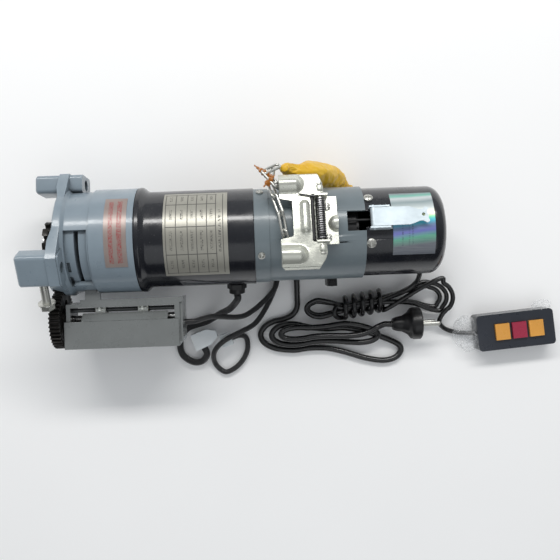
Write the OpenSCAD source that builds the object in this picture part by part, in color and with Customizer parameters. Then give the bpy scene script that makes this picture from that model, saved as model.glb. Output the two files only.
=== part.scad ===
// Roller-door side motor: a tubular gearmotor with three mounting lugs, a
// travelling-nut limit switch, a hand-chain drive, a spring-set brake and a
// wired push-button station.
//
// Frame: +X runs along the motor axis from the mounting face of the lugs
// (X = 0) to the end cover, +Z is up, and the origin is on the motor axis.
// Angles around the axis are measured from +Z toward +Y.

/* [Mounting lugs] */
// Radius of the circle through the three lug holes
lug_circle_r = 57; // [55:0.5:59]
// Radius of each lug hole
lug_hole_r = 5.5; // [4.5:0.25:6]
// Width of a lug across the hole
lug_w = 32; // [28:1:34]
// Length of a short lug along the axis
lug_len = 40; // [39:0.5:41]

/* [Housings] */
// Outer radius of the casting's flange ring
flange_r = 53; // [52:0.5:54]
// Outer radius of the casting's skirt
skirt_r = 49.5; // [49:0.25:50.5]
// Outer radius of the gearbox cap
cap_r = 51.5; // [51:0.25:53]
// Outer radius of the motor barrel
barrel_r = 47.5; // [47:0.25:49]
// Outer radius of the brake and chain housing
drum_r = 45.5; // [45:0.25:46]
// Outer radius of the end cover
cover_r = 43.5; // [43:0.25:44.5]
// Corner radius of the end cover
cover_corner = 13; // [8:1:16]

/* [Gears] */
// Distance between the motor axis and each layshaft
layshaft_offset = 24.5; // [24.5:0.1:24.5]
// Tooth module of the first two reductions
fine_module = 1.0; // [1:0.1:1]
// Tooth module of the last two reductions
coarse_module = 1.4; // [1.4:0.1:1.4]
// Tooth module of the limit-switch gears
limit_module = 1.35; // [1.3:0.01:1.4]
// Play between meshing teeth along the pitch circle
backlash = 0.18; // [0.12:0.02:0.3]

/* [Limit switch] */
// Lead of the limit screw, the travel of a nut in one turn
screw_lead = 3; // [2:0.5:4]
// Length of the limit-switch box
box_len = 111; // [105:1:115]
// Width of the limit-switch box
box_w = 42; // [40:1:44]

/* [Chain guide] */
// Angle of the guide, slot and brake lever around the axis
guide_angle = 15; // [10:1:18]
// Height of the guide plate above the axis
hood_z = 55; // [54:0.5:57]
// Half width of the guide plate
hood_half = 46; // [42:1:48]
// Thickness of the pressed steel
sheet = 1.6; // [1.2:0.2:2]
// Wire diameter of the hand chain
chain_wire = 2.6; // [2.2:0.1:2.8]
// Pitch of the hand chain
chain_pitch = 18.4; // [18:0.1:18.8]

/* [Cables] */
// Radius of the power cord
cord_r = 3.2; // [2.8:0.1:3.4]
// Radius of the push-button cable
station_cord_r = 2.5; // [2.2:0.1:2.7]
// Radius of the switch wiring
lead_r = 2.8; // [2.4:0.1:3]
// Radius of the sleeved wiring
sleeve_r = 3.6; // [3:0.1:3.8]

/* [Push-button station] */
// Length of the station
station_len = 82; // [78:1:86]
// Width of the station
station_w = 38; // [36:1:40]
// Height of the station
station_h = 20; // [18:1:22]
// Travel of a button
button_travel = 2.5; // [1.5:0.5:3]

/* [Hidden] */
$fn = 48;
floor_z = -63.3;
// Stations along the axis
x_web = 32;
x_skirt = 41;
x_cap = 64.5;
x_barrel = 106;
x_band = 219;
x_drum = 233;
x_cover = 324;
x_end = 402;
wall = 3;
// Angles of the lugs, from +Z toward +Y
lug_angles = [95, -25, 215];
// Side of each lug that its clamp bolt enters, and how far the bolt head stands off
bolt_sides = [1, -1, 1];
bolt_reach = [20, 20, 1.2];
bolt_x = 20;
// Ends of each lug along the axis
lug_starts = [5, 0, 0];
lug_ends = [51, lug_len, lug_len];
// Shaft radii
output_r = 10;
rotor_r = 6;
lay_r = 4;
running = 0.05;
// Tooth counts: pinion and wheel of each reduction, then the limit train
fine_pinion = 12;
fine_wheel = 37;
coarse_pinion = 11;
coarse_wheel = 24;
limit_pinion_teeth = 26;
idler_teeth = 24;
limit_gear_teeth = 40;
// Profile shift that keeps the small pinions free of undercut
fine_shift = 0.3;
coarse_shift = 0.36;
// Directions of the layshafts in the YZ plane, from +Y toward +Z
lay_a_dir = 60;
lay_b_dir = 200;
// The limit train lies along -Y
idler_y = -limit_module * (limit_pinion_teeth + idler_teeth) / 2;
limit_y = idler_y - limit_module * (idler_teeth + limit_gear_teeth) / 2;
gear_x = 18.5;
gear_w = 6;
// Limit-switch box
box_x0 = 32;
box_top = 16;
box_y0 = limit_y + 16;
box_y1 = box_y0 - box_w;
box_bottom = -22;
screw_r = 4;
rod_y = limit_y + 9;
rod_z = 4;
// Brake
armature_gap = 1.2;
lever_x = 331;
lever_z = 46.5;
pull_z = 40;
// Guide hinge
hinge_x = 281;
hinge_z = 53.5;
bracket_y = [-24.5, 22];
bracket_screws = [-18.5, 12];
hood_y = [-hood_half - 1.5, hood_half - 2.5];
dome_y = [-35.5, 33];
// Chain wheel
wheel_x = 253;
wheel_pitch_r = 31;

// ---------------------------------------------------------------- placing

// Child's Z runs along the motor axis from the station x
module along(x) {
    translate([x, 0, 0]) rotate([90, 0, 90]) children();
}

// Child's Z points away from the axis at an angle from +Z toward +Y
module turned(angle) {
    rotate([-angle, 0, 0]) children();
}

module ring(x0, x1, outer, inner) {
    along(x0) difference() {
        cylinder(h = x1 - x0, r = outer, $fn = 96);
        translate([0, 0, -1]) cylinder(h = x1 - x0 + 2, r = inner, $fn = 96);
    }
}

// Box given by its two corners
module block(low, high) {
    translate(low) cube(high - low);
}

// Sector of a disc between two angles, for cutting windows in a shell
module sector(x0, x1, from, to, radius) {
    steps = 8;
    along(x0) linear_extrude(x1 - x0) polygon(concat([[0, 0]],
        [for (i = [0:steps]) let (a = 90 - from - (to - from) * i / steps)
            radius * [cos(a), sin(a)]]));
}

// ---------------------------------------------------------------- gears

function involute(a) = tan(a) * 180 / PI - a;

// Half the angle of a tooth at a radius, for a tooth count, module and shift
function half_tooth(radius, teeth, m, shift) =
    let (pitch = m * teeth / 2, base = pitch * cos(20))
    90 / teeth + (2 * shift * tan(20) / teeth - backlash / 2 / pitch) * 180 / PI
        + involute(20) - involute(acos(min(1, base / radius)));

function gear_tip(teeth, m, shift = 0) = m * (teeth / 2 + 1 + shift);

function gear_root(teeth, m, shift = 0) = m * (teeth / 2 - 1.25 + shift);

function gear_outline(teeth, m, shift, phase) =
    let (root = gear_root(teeth, m, shift),
         tip = gear_tip(teeth, m, shift),
         base = m * teeth / 2 * cos(20),
         foot = max(root, base),
         radii = concat([root], [for (i = [0:3]) foot + (tip - foot) * i / 3 + 0.001]))
    [for (tooth = [0:teeth - 1]) each let (middle = phase + 360 * tooth / teeth) concat(
        [for (i = [0:4]) let (a = middle - half_tooth(radii[i], teeth, m, shift))
            radii[i] * [cos(a), sin(a)]],
        [for (i = [4:-1:0]) let (a = middle + half_tooth(radii[i], teeth, m, shift))
            radii[i] * [cos(a), sin(a)]])];

module gear(x0, width, teeth, m, shift = 0, phase = 0) {
    along(x0) linear_extrude(width) polygon(gear_outline(teeth, m, shift, phase));
}

// Phase of a gear that meshes with one at the given phase and direction
function mesh_phase(phase, teeth, other, direction) =
    direction + 180 - 180 / other + (direction - phase) * teeth / other;

// Point at the layshaft offset in a direction from +Y toward +Z
function lay_point(direction) = layshaft_offset * [cos(direction), sin(direction)];

module at_lay(direction) {
    p = lay_point(direction);
    translate([0, p[0], p[1]]) children();
}

// ---------------------------------------------------------------- small parts

// Pan-head screw along the child's Z with its head above zero
module pan_screw(shank_r, head_r, length) {
    translate([0, 0, -length]) cylinder(h = length, r = shank_r, $fn = 24);
    difference() {
        intersection() {
            cylinder(h = head_r * 0.7, r = head_r, $fn = 32);
            translate([0, 0, -head_r * 0.9]) sphere(r = head_r * 1.6, $fn = 32);
        }
        for (turn = [0, 90]) rotate([0, 0, turn])
            translate([-head_r, -0.5, head_r * 0.35]) cube([2 * head_r, 1, head_r]);
    }
}

// Ball bearing as an outer ring, an inner ring and its balls
module bearing(x0, width, outer, inner) {
    middle = (outer + inner) / 2;
    ball = (outer - inner) * 0.27;
    for (edge = [[outer, middle + ball * 0.55], [middle - ball * 0.55, inner]])
        along(x0) difference() {
            cylinder(h = width, r = edge[0], $fn = 64);
            translate([0, 0, -1]) cylinder(h = width + 2, r = edge[1], $fn = 64);
            translate([0, 0, width / 2]) rotate_extrude($fn = 64)
                translate([middle, 0]) circle(r = ball + 0.1, $fn = 24);
        }
    for (i = [0:7]) along(x0 + width / 2) rotate(45 * i)
        translate([middle, 0, 0]) sphere(r = ball, $fn = 24);
}

// ---------------------------------------------------------------- output end

// Rounded bar along the axis at a lug: its ends, half width and half depth
module lug_bar(x0, x1, half_w, half_d, shift = 0) {
    chamfer = 1.5;
    corner = 4;
    for (side = [-1, 1], depth = [-1, 1])
        translate([x0, side * (half_w - corner), lug_circle_r + shift + depth * (half_d - corner)])
            rotate([0, 90, 0]) {
                cylinder(h = chamfer, r1 = corner - chamfer, r2 = corner, $fn = 32);
                translate([0, 0, chamfer]) cylinder(h = x1 - x0 - chamfer, r = corner, $fn = 32);
            }
}

module lug(i) {
    turned(lug_angles[i]) hull() lug_bar(lug_starts[i], lug_ends[i], lug_w / 2, 9);
}

// Web that spreads from a lug into the flange ring, thicker toward the lug
module flange_web(i) {
    root_half = lug_w / 2 + 2;
    outer = lug_circle_r + 10;
    spread = (flange_r - 1) * sin(45);
    turned(lug_angles[i]) intersection() {
        rotate([90, 0, 90]) linear_extrude(38.4) polygon([
            [-spread, spread], [-root_half, outer - 4], [-root_half + 4, outer],
            [root_half - 4, outer], [root_half, outer - 4], [spread, spread]]);
        rotate([90, 0, 0]) translate([0, 0, -spread]) linear_extrude(2 * spread) polygon([
            [28.7, outer], [28.7, 52], [x_web - 0.6, 42], [x_web - 0.6, 30], [39, 30], [39, outer]]);
    }
}

module flange_ring() {
    along(0) rotate_extrude($fn = 96) polygon([
        [39, x_web - 1], [flange_r - 1, x_web - 1], [flange_r, x_web], [flange_r, 37.5],
        [flange_r - 0.8, 39], [flange_r - 2.5, 40.2], [skirt_r, x_skirt + 0.5],
        [39, x_skirt + 0.5]]);
}

// Opening through the skirt only
module skirt_window() {
    difference() {
        sector(x_skirt, 62.5, -58, 12, 70);
        along(x_skirt - 1) cylinder(h = 50.8 - x_skirt, r = 45.3, $fn = 96);
        along(x_skirt - 1) cylinder(h = 30, r = 44.6, $fn = 96);
    }
}

module mount_casting() {
    bearing_r = 21;
    plate_x = [45, 50];
    color("slategray") difference() {
        union() {
            difference() {
                union() {
                    for (i = [0:2]) {
                        lug(i);
                        flange_web(i);
                    }
                    flange_ring();
                }
                along(-1) cylinder(h = 30, r = 45, $fn = 96);
                along(28) cylinder(h = 14, r = 40, $fn = 96);
            }
            // front plate and bearing seat
            ring(29, 33, 46, 26);
            ring(29, plate_x[1], 26, bearing_r);
            // gear plate with its thick rim
            ring(plate_x[0], plate_x[1], 45.5, 14);
            ring(x_skirt - 1, plate_x[1], 45.5, 38);
            ring(x_skirt - 0.5, x_cap, skirt_r, 45);
            translate([0, idler_y, 0]) ring(26, 33, 7, 1);
        }
        for (i = [0:2]) turned(lug_angles[i]) translate([0, 0, lug_circle_r]) {
            translate([-1, 0, 0]) rotate([0, 90, 0])
                cylinder(h = lug_ends[i] + 2, r = lug_hole_r);
            translate([bolt_x, 0, 0]) rotate([-90 * bolt_sides[i], 0, 0])
                translate([0, 0, 0.5 - lug_hole_r]) cylinder(h = lug_w, r = 4.1);
        }
        along(44) cylinder(h = 2, r = bearing_r, $fn = 96);
        translate([0, idler_y, 0]) along(24) cylinder(h = 12, r = 4);
        // gap in the flange for the limit gears
        sector(x_web - 12, 29, -112, -68, 70);
        skirt_window();
        // slots in the rim behind the window
        for (angle = [-33, -55]) turned(angle) block([x_skirt + 0.3, -5.5, 42.5], [44.3, 5.5, 50]);
        for (direction = [lay_a_dir, lay_b_dir])
            at_lay(direction) along(44) cylinder(h = 7, r = 5.5);
    }
}

// Hexagon bolt with a washer flange; its tip is at tip and its head starts at seat
module clamp_bolt(tip, seat) {
    translate([0, 0, tip]) cylinder(h = seat - tip, r = 4, $fn = 32);
    translate([0, 0, seat]) cylinder(h = 1.5, r = 8.2, $fn = 40);
    translate([0, 0, seat + 1.4]) cylinder(h = 5.2, r = 7.2, $fn = 6);
}

module clamp_bolts() {
    color("silver") for (i = [0:2]) turned(lug_angles[i])
        translate([bolt_x, 0, lug_circle_r]) rotate([-90 * bolt_sides[i], 0, 0])
            clamp_bolt(lug_hole_r + 0.9, lug_w / 2 + bolt_reach[i]);
}

module output_shaft() {
    color("lightgray") union() {
        along(10) cylinder(h = 51, r = output_r);
        along(60) cylinder(h = 20, r = 5);
    }
}

module output_sprocket() {
    teeth = 9;
    pitch_r = 12.7 / 2 / sin(180 / teeth);
    color("dimgray") along(12.4) difference() {
        union() {
            cylinder(h = 5.6, r = 21.5);
            cylinder(h = 6, r = 14);
        }
        for (i = [0:teeth - 1]) rotate(360 * i / teeth)
            translate([pitch_r, 0, -1]) cylinder(h = 9, r = 4.3, $fn = 24);
        translate([0, 0, -1]) cylinder(h = 9, r = output_r + 0.01);
    }
}

module output_bearing() {
    color("silver") bearing(32, 12, 21 - 0.01, output_r + 0.02);
}

module limit_pinion() {
    color("gray") difference() {
        gear(gear_x, gear_w, limit_pinion_teeth, limit_module);
        along(gear_x - 1) cylinder(h = gear_w + 2, r = output_r + 0.01);
    }
}

idler_phase = mesh_phase(0, limit_pinion_teeth, idler_teeth, 180);

module idler_gear() {
    color("dimgray") translate([0, idler_y, 0]) difference() {
        gear(gear_x, gear_w, idler_teeth, limit_module, 0, idler_phase);
        along(gear_x - 1) cylinder(h = gear_w + 2, r = 4 + running);
    }
}

module idler_stud() {
    color("silver") translate([0, idler_y, 0]) {
        along(15) cylinder(h = 2.9, r = 7, $fn = 6);
        along(17) cylinder(h = 18, r = 3.99);
    }
}

// ---------------------------------------------------------------- reduction gears

x_output_gear = 52;
x_coarse = 62;
x_second = 72;
x_first = 81;
lay_a_phase = mesh_phase(0, fine_pinion, fine_wheel, lay_a_dir);
cluster_phase = mesh_phase(0, fine_pinion, fine_wheel, lay_a_dir + 180);
lay_b_phase = mesh_phase(0, coarse_pinion, coarse_wheel, lay_b_dir);
output_phase = mesh_phase(0, coarse_pinion, coarse_wheel, lay_b_dir + 180);

module output_gear() {
    color("gray") difference() {
        gear(x_output_gear, 8, coarse_wheel, coarse_module, -coarse_shift, output_phase);
        along(x_output_gear - 1) cylinder(h = 10, r = output_r + 0.01);
    }
}

module layshaft_b() {
    color("gray") at_lay(lay_b_dir) {
        gear(x_coarse, 8, coarse_wheel, coarse_module, -coarse_shift, lay_b_phase);
        gear(x_output_gear - 0.5, 11, coarse_pinion, coarse_module, coarse_shift);
        along(45) cylinder(h = 52, r = lay_r);
    }
}

module cluster_gear() {
    color("gray") difference() {
        union() {
            gear(x_second, 7, fine_wheel, fine_module, -fine_shift, cluster_phase);
            gear(x_coarse - 0.5, 11, coarse_pinion, coarse_module, coarse_shift);
        }
        along(x_coarse - 1) cylinder(h = 20, r = 5 + running);
    }
}

module layshaft_a() {
    color("gray") at_lay(lay_a_dir) {
        gear(x_first, 7, fine_wheel, fine_module, -fine_shift, lay_a_phase);
        gear(x_second - 0.5, 10, fine_pinion, fine_module, fine_shift);
        along(45) cylinder(h = 52, r = lay_r);
    }
}

module layshaft_bushes() {
    color("goldenrod") for (direction = [lay_a_dir, lay_b_dir], x0 = [45, 92])
        at_lay(direction) ring(x0, x0 + 5, 5.48, lay_r + running);
}

module gearbox_cap() {
    color("slategray") difference() {
        union() {
            ring(x_cap, x_barrel, cap_r, 47.5);
            ring(92, x_barrel, 48, 11);
            // spigot that fits inside the casting's skirt
            ring(54, x_cap + 2, 44.9, 43.6);
            ring(x_cap, x_cap + 2, 48, 43.6);
        }
        along(94) cylinder(h = 14, r = 16, $fn = 96);
        for (direction = [lay_a_dir, lay_b_dir])
            at_lay(direction) along(91) cylinder(h = 6, r = 5.5);
        // lightening pockets behind the plate
        for (direction = [lay_a_dir + 70, lay_a_dir + 210, lay_a_dir + 280])
            translate([98, 34 * cos(direction), 34 * sin(direction)])
                along(0) cylinder(h = 8, r = 8);
    }
}

// ---------------------------------------------------------------- motor

module motor_barrel() {
    color([0.11, 0.12, 0.17]) difference() {
        // collar that steps down to the barrel
        along(0) rotate_extrude($fn = 96) polygon([
            [44.5, x_barrel], [cap_r - 0.5, x_barrel], [cap_r + 0.5, x_barrel + 1],
            [cap_r + 0.5, x_barrel + 4.5], [cap_r - 0.6, x_barrel + 6],
            [barrel_r + 1, x_barrel + 8.5], [barrel_r, x_barrel + 11], [barrel_r, x_band],
            [44.5, x_band]]);
        turned(gland_angle) translate([gland_x, 0, 40]) cylinder(h = 12, r = 7);
    }
}

module stator_core() {
    color("silver") difference() {
        ring(128, 188, 44.45, 26);
        for (i = [0:23]) along(127) rotate(15 * i)
            translate([28.5, -1.6, 0]) cube([10, 3.2, 62]);
        for (i = [0:23]) along(127) rotate(15 * i)
            translate([25, -0.9, 0]) cube([5, 1.8, 62]);
    }
}

module stator_windings() {
    color("chocolate") {
        for (x0 = [115, 188.5]) along(x0) rotate_extrude($fn = 64)
            polygon([[29, 0], [31, -0], [38, 0], [40, 2], [40, 10], [37, 12.5], [31, 12.5], [29, 10]]);
        for (i = [0:23]) along(128.2) rotate(15 * i)
            translate([29, -1.4, 0]) cube([9, 2.8, 59.6]);
    }
}

module rotor_core() {
    color("gray") difference() {
        union() {
            ring(128, 188, 25.5, 8.01);
            ring(121, 128, 24.5, 15);
            ring(188, 195, 24.5, 15);
        }
        for (i = [0:27]) along(120) rotate(360 / 28 * i)
            translate([23, 0, 8]) cylinder(h = 60, r = 1.1, $fn = 16);
    }
}

module rotor_shaft() {
    color("lightgray") {
        gear(x_first, 7.5, fine_pinion, fine_module, fine_shift);
        along(88) cylinder(h = 204, r = rotor_r);
        along(108) cylinder(h = 97, r = 8);
    }
}

module rotor_bearings() {
    color("silver") for (x0 = [94, 221])
        bearing(x0, 10, 16 - 0.01, rotor_r + 0.02);
}

// Outline of an opening between two radii, over an angle to each side
module spoke_gap(inner, outer, half) {
    steps = 8;
    polygon(concat(
        [for (i = [0:steps]) let (a = half * (2 * i / steps - 1)) outer * [cos(a), sin(a)]],
        [inner * [cos(half), sin(half)], inner * [cos(half), -sin(half)]]));
}

band_screw_angles = [62, -25, 182];
cover_screw_angles = [45, -15.5, 165, 225];

module band_flange() {
    color("slategray") difference() {
        ring(x_band, x_drum, drum_r + 1, 11);
        along(x_band - 1) cylinder(h = 13, r = 16, $fn = 96);
        for (angle = [15, 135, 255]) along(x_band - 1) rotate(angle)
            linear_extrude(20) spoke_gap(24, 38, 32);
        for (angle = band_screw_angles) turned(angle)
            translate([x_band + 6, 0, drum_r - 4]) cylinder(h = 8, r = 1.9);
    }
}

// ---------------------------------------------------------------- chain and brake housing

module drum_housing() {
    color("slategray") difference() {
        union() {
            ring(x_drum, x_cover, drum_r, drum_r - wall);
            ring(278, 284, drum_r - wall + 0.5, 9);
        }
        turned(guide_angle) {
            for (side = [-1, 1])
                block([245, side * 31 - 7.5, 10], [261, side * 31 + 7.5, 60]);
            block([306.5, -11.5, 30], [x_cover + 1, 8, 60]);
            for (side = bracket_screws) translate([287.5, side, 35]) cylinder(h = 20, r = 1.9);
        }
    }
}

module chain_wheel() {
    color("dimgray") difference() {
        along(wheel_x - 10) rotate_extrude($fn = 96) polygon([
            [6.08, 0], [15, 0], [15, 2], [33, 2], [33, 4], [26, 4.6], [23.6, 6],
            [23.6, 14], [26, 15.4], [33, 16], [33, 18], [15, 18], [15, 20], [6.08, 20]]);
        for (i = [0:9]) along(wheel_x) rotate(36 * i)
            translate([27.5, 0, 0]) rotate([0, 90, 0]) cylinder(h = 9, r = 4.6, center = true);
    }
}

module brake_disc() {
    color("dimgray") difference() {
        union() {
            ring(285, 290, 33, 18);
            ring(286, 289, 19, 8);
            along(285) cylinder(h = 5, r = 10);
        }
        along(284) cylinder(h = 8, r = rotor_r + 0.01);
    }
}

module brake_armature() {
    color("gray") {
        difference() {
            ring(291, 294, 34, 14);
            for (angle = [45, 165, 285]) along(290) rotate(angle)
                translate([30, 0, 0]) cylinder(h = 6, r = 2);
        }
        turned(guide_angle) {
            block([291, -4, 32], [294, 4, 41.5]);
            translate([293, 0, pull_z]) rotate([0, 90, 0]) cylinder(h = 42, r = 1.2, $fn = 24);
            translate([334.2, 0, pull_z]) rotate([0, 90, 0]) cylinder(h = 2.5, r = 2.6, $fn = 24);
        }
    }
}

module brake_magnet() {
    color("steelblue") difference() {
        ring(295.5, 316, 36, 10);
        along(295) difference() {
            cylinder(h = 13, r = 29);
            translate([0, 0, -1]) cylinder(h = 15, r = 17);
        }
        for (angle = [15, 135, 255]) along(295) rotate(angle)
            translate([32.5, 0, 0]) cylinder(h = 9, r = 2.8);
    }
    color("chocolate") ring(297.5, 307.5, 28.5, 17.5);
    color("gray") difference() {
        ring(316.2, 319, 42, 10);
        along(316) rotate(90 - guide_angle) translate([30, -11, -1]) cube([20, 22, 5]);
    }
}

module coil(radius, wire, pitch, turns, sides = 5, per_turn = 12) {
    path = [for (i = [0:turns * per_turn]) let (a = 360 * i / per_turn)
        [radius * cos(a), radius * sin(a), pitch * i / per_turn]];
    sweep(path, [for (p = path) wire], sides);
}

module brake_springs() {
    color("lightgray") for (angle = [15, 135, 255])
        along(296.4) rotate(angle) translate([32.5, 0, 0]) coil(1.9, 0.45, 1.5, 4, 5, 8);
}

module end_cover() {
    corner = function (radius, x, r) [for (i = [0:8])
        [x - r + r * sin(11.25 * i) , radius - r + r * cos(11.25 * i)]];
    outer = [for (p = corner(cover_r, x_end, cover_corner)) [p[1], p[0]]];
    inner = [for (p = corner(cover_r - 2.5, x_end - 2.5, cover_corner - 2.5)) [p[1], p[0]]];
    color([0.10, 0.11, 0.15]) difference() {
        along(0) rotate_extrude($fn = 96) polygon(concat(
            [[cover_r, x_cover]], outer, [[0, x_end], [0, x_end - 2.5]],
            [for (i = [8:-1:0]) inner[i]], [[cover_r - 2.5, x_cover]]));
        turned(guide_angle) block([x_cover - 1, -8, 30], [x_cover + 16, 8, 60]);
        turned(cover_outlet[1]) translate([cover_outlet[0], 0, 34])
            cylinder(h = 14, r = station_cord_r + 1.5);
        for (angle = cover_screw_angles) turned(angle)
            translate([x_cover + 4.5, 0, 38]) cylinder(h = 8, r = 1.9);
    }
}

module capacitor() {
    color("whitesmoke") translate([342, -4, -14]) {
        rotate([0, 90, 0]) cylinder(h = 40, r = 17);
        for (side = [-6, 6]) translate([-5, side - 0.4, -3]) cube([5.5, 0.8, 6]);
    }
}

module housing_screws() {
    color("silver") {
        for (angle = cover_screw_angles) turned(angle)
            translate([x_cover + 4.5, 0, cover_r + 0.1]) pan_screw(1.8, 4.4, 3.6);
        for (angle = band_screw_angles) turned(angle)
            translate([x_band + 6, 0, drum_r + 1.1]) pan_screw(1.8, 3.4, 4);
        turned(guide_angle) for (side = bracket_screws)
            translate([287.5, side, drum_r + 0.1 + sheet]) pan_screw(1.8, 3.5, 7);
    }
}

// ---------------------------------------------------------------- brake lever

module lever_bracket() {
    color("silver") turned(guide_angle) difference() {
        union() {
            block([x_cover + 16.5, -11, cover_r + 0.1], [x_cover + 24, 11, cover_r + 1.5]);
            for (side = [-1, 1])
                block([lever_x - 4, side * 10.2 - 0.8, cover_r - 1.9],
                      [x_cover + 22, side * 10.2 + 0.8, lever_z + 3]);
            translate([lever_x, -12, lever_z]) rotate([-90, 0, 0]) cylinder(h = 24, r = 1.5);
        }
        along(x_cover - 5) cylinder(h = 60, r = cover_r + 0.08, $fn = 96);
    }
}

// Half of the lever is a strip, then a neck and a forked tail with a cord hole
lever_outline = [
    [0, -9], [33, -8.8], [38, -7.2], [42, -5.6], [45, -5.4], [49, -7.6], [51.5, -6.2],
    [50.4, -3], [50.8, 0], [49.4, 3.4], [51, 6.6], [48.5, 8], [45, 5.8], [42, 5.6],
    [38, 7.2], [33, 8.8], [0, 9]];
cord_hole = [46, 0.6];

module brake_lever() {
    color("gainsboro") turned(guide_angle) difference() {
        union() {
            translate([lever_x, 0, lever_z + 1.4]) linear_extrude(1.5) polygon(lever_outline);
            translate([lever_x, -9, lever_z]) rotate([-90, 0, 0]) cylinder(h = 18, r = 3);
            block([lever_x + 0.6, -5, pull_z - 3], [lever_x + 2.4, 5, lever_z]);
        }
        translate([lever_x, -13, lever_z]) rotate([-90, 0, 0])
            cylinder(h = 26, r = 1.5 + running);
        translate([lever_x + cord_hole[0], cord_hole[1], lever_z])
            cylinder(h = 6, r = 1.6, $fn = 24);
        block([lever_x - 1, -1.8, pull_z - 4], [lever_x + 4, 1.8, pull_z + 2]);
    }
}

// ---------------------------------------------------------------- chain guide

module dome(centre) {
    translate([0, centre, hood_z]) difference() {
        union() {
            translate([241, 0, 0]) rotate([0, 90, 0]) cylinder(h = 20, r = 9);
            translate([261, 0, 0]) sphere(r = 9);
        }
        translate([240, 0, 0]) rotate([0, 90, 0]) cylinder(h = 21, r = 9 - sheet);
        translate([261, 0, 0]) sphere(r = 9 - sheet);
        block([230, -12, -12], [275, 12, 0]);
    }
}

module chain_guide() {
    color("wheat") turned(guide_angle) difference() {
        union() {
            difference() {
                union() {
                    block([243, hood_y[0], hood_z], [hinge_x + 5, hood_y[1], hood_z + sheet]);
                    for (edge = [hood_y[0], hood_y[1] - sheet])
                        block([243, edge, hood_z - 9], [hinge_x + 3, edge + sheet, hood_z + 1]);
                }
                for (centre = dome_y) translate([0, centre, hood_z - 20])
                    block([240, -7.4, 0], [261, 7.4, 40]);
                // notch where the chain comes out
                block([240, -18, hood_z - 5], [255, 20.5, hood_z + 5]);
                // room for the spring
                block([hinge_x - 7, bracket_y[0] - 2, hood_z - 5],
                    [hinge_x + 10, bracket_y[1] + 2.5, hood_z + 5]);
            }
            for (centre = dome_y) dome(centre);
            // pressed rib
            translate([265, 0, hood_z + 0.4]) hull() for (end = [-12, 12])
                translate([0, end, 0]) sphere(r = 4.2, $fn = 32);
            for (span = [[bracket_y[0] - 9, bracket_y[0] - 2.5], [bracket_y[1] + 3, bracket_y[1] + 9.5]])
                translate([hinge_x, span[0], hinge_z]) rotate([-90, 0, 0])
                    cylinder(h = span[1] - span[0], r = 3.6);
        }
        translate([hinge_x, -60, hinge_z]) rotate([-90, 0, 0])
            cylinder(h = 120, r = 2 + running);
        for (head = pin_ends) translate([hinge_x, head, hinge_z]) rotate([-90, 0, 0])
            cylinder(h = 4, r = 3.3, center = true);
        block([240, -20, hood_z - 10], [273, 20, hood_z]);
    }
}

module guide_bracket() {
    color("silver") turned(guide_angle) difference() {
        union() {
            block([275, bracket_y[0], drum_r + 0.05], [297, bracket_y[1], drum_r + 0.05 + sheet]);
            for (side = [bracket_y[0], bracket_y[1] - sheet])
                block([276, side, drum_r + 0.05], [288, side + sheet, hinge_z + 4]);
            translate([296, -4.5, drum_r + 1]) sphere(r = 8, $fn = 32);
        }
        translate([hinge_x, -60, hinge_z]) rotate([-90, 0, 0])
            cylinder(h = 120, r = 2.02);
        for (side = bracket_screws) translate([287.5, side, 40]) cylinder(h = 20, r = 1.9);
        translate([296, -4.5, drum_r + 1]) sphere(r = 8 - sheet, $fn = 32);
        block([297.01, -35, 30], [320, 30, 80]);
        block([260, -40, 20], [330, 40, drum_r + 0.05]);
    }
}

// Ends of the hinge pin along the hinge
pin_ends = [bracket_y[0] - 11, bracket_y[1] + 11.5];

module guide_pin() {
    color("silver") turned(guide_angle) translate([hinge_x, pin_ends[0], hinge_z])
        rotate([-90, 0, 0]) {
            whole = pin_ends[1] - pin_ends[0];
            cylinder(h = whole, r = 2);
            for (end = [0, whole - 1.5]) translate([0, 0, end]) cylinder(h = 1.5, r = 3);
        }
}

module guide_spring() {
    color([0.2, 0.2, 0.22]) turned(guide_angle)
        translate([hinge_x, bracket_y[0] + 2.5, hinge_z]) rotate([-90, 0, 0])
            coil(3.9, 0.75, 2.1, 19, 5, 12);
}

// ---------------------------------------------------------------- paths and sweeps

function unit(v) = v / norm(v);

function spline_point(p, i, t) =
    let (last = len(p) - 1,
         a = p[max(i - 1, 0)], b = p[i], c = p[min(i + 1, last)], d = p[min(i + 2, last)])
    0.5 * (2 * b + (c - a) * t + (2 * a - 5 * b + 4 * c - d) * t * t
        + (3 * b - a - 3 * c + d) * t * t * t);

// Smooth path through the given points
function smooth(points, steps) = concat(
    [for (i = [0:len(points) - 2], s = [0:steps - 1]) spline_point(points, i, s / steps)],
    [points[len(points) - 1]]);

function tangent(path, i) =
    unit(path[min(i + 1, len(path) - 1)] - path[max(i - 1, 0)]);

// Side direction carried along the path without twist
function side_frames(path) = [for (
    i = 0,
    side = unit(cross(tangent(path, 0), abs(tangent(path, 0)[2]) > 0.9 ? [1, 0, 0] : [0, 0, 1]));
    i < len(path);
    i = i + 1,
    side = i < len(path) ? unit(side - (side * tangent(path, i)) * tangent(path, i)) : side)
    side];

module sweep(path, radii, sides) {
    frames = side_frames(path);
    count = len(path);
    points = [for (i = [0:count - 1]) let (u = frames[i], v = cross(tangent(path, i), u))
        for (k = [0:sides - 1]) path[i] + radii[i] * (u * cos(360 * k / sides)
            + v * sin(360 * k / sides))];
    faces = concat(
        [[for (k = [sides - 1:-1:0]) k]],
        [for (i = [0:count - 2], k = [0:sides - 1]) let (n = (k + 1) % sides)
            [i * sides + k, i * sides + n, (i + 1) * sides + n, (i + 1) * sides + k]],
        [[for (k = [0:sides - 1]) (count - 1) * sides + k]]);
    polyhedron(points, [for (f = faces) [for (j = [len(f) - 1:-1:0]) f[j]]]);
}

module cable(path, radius, sides = 6) {
    sweep(path, [for (p = path) radius], sides);
}

// ---------------------------------------------------------------- hand chain

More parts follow.
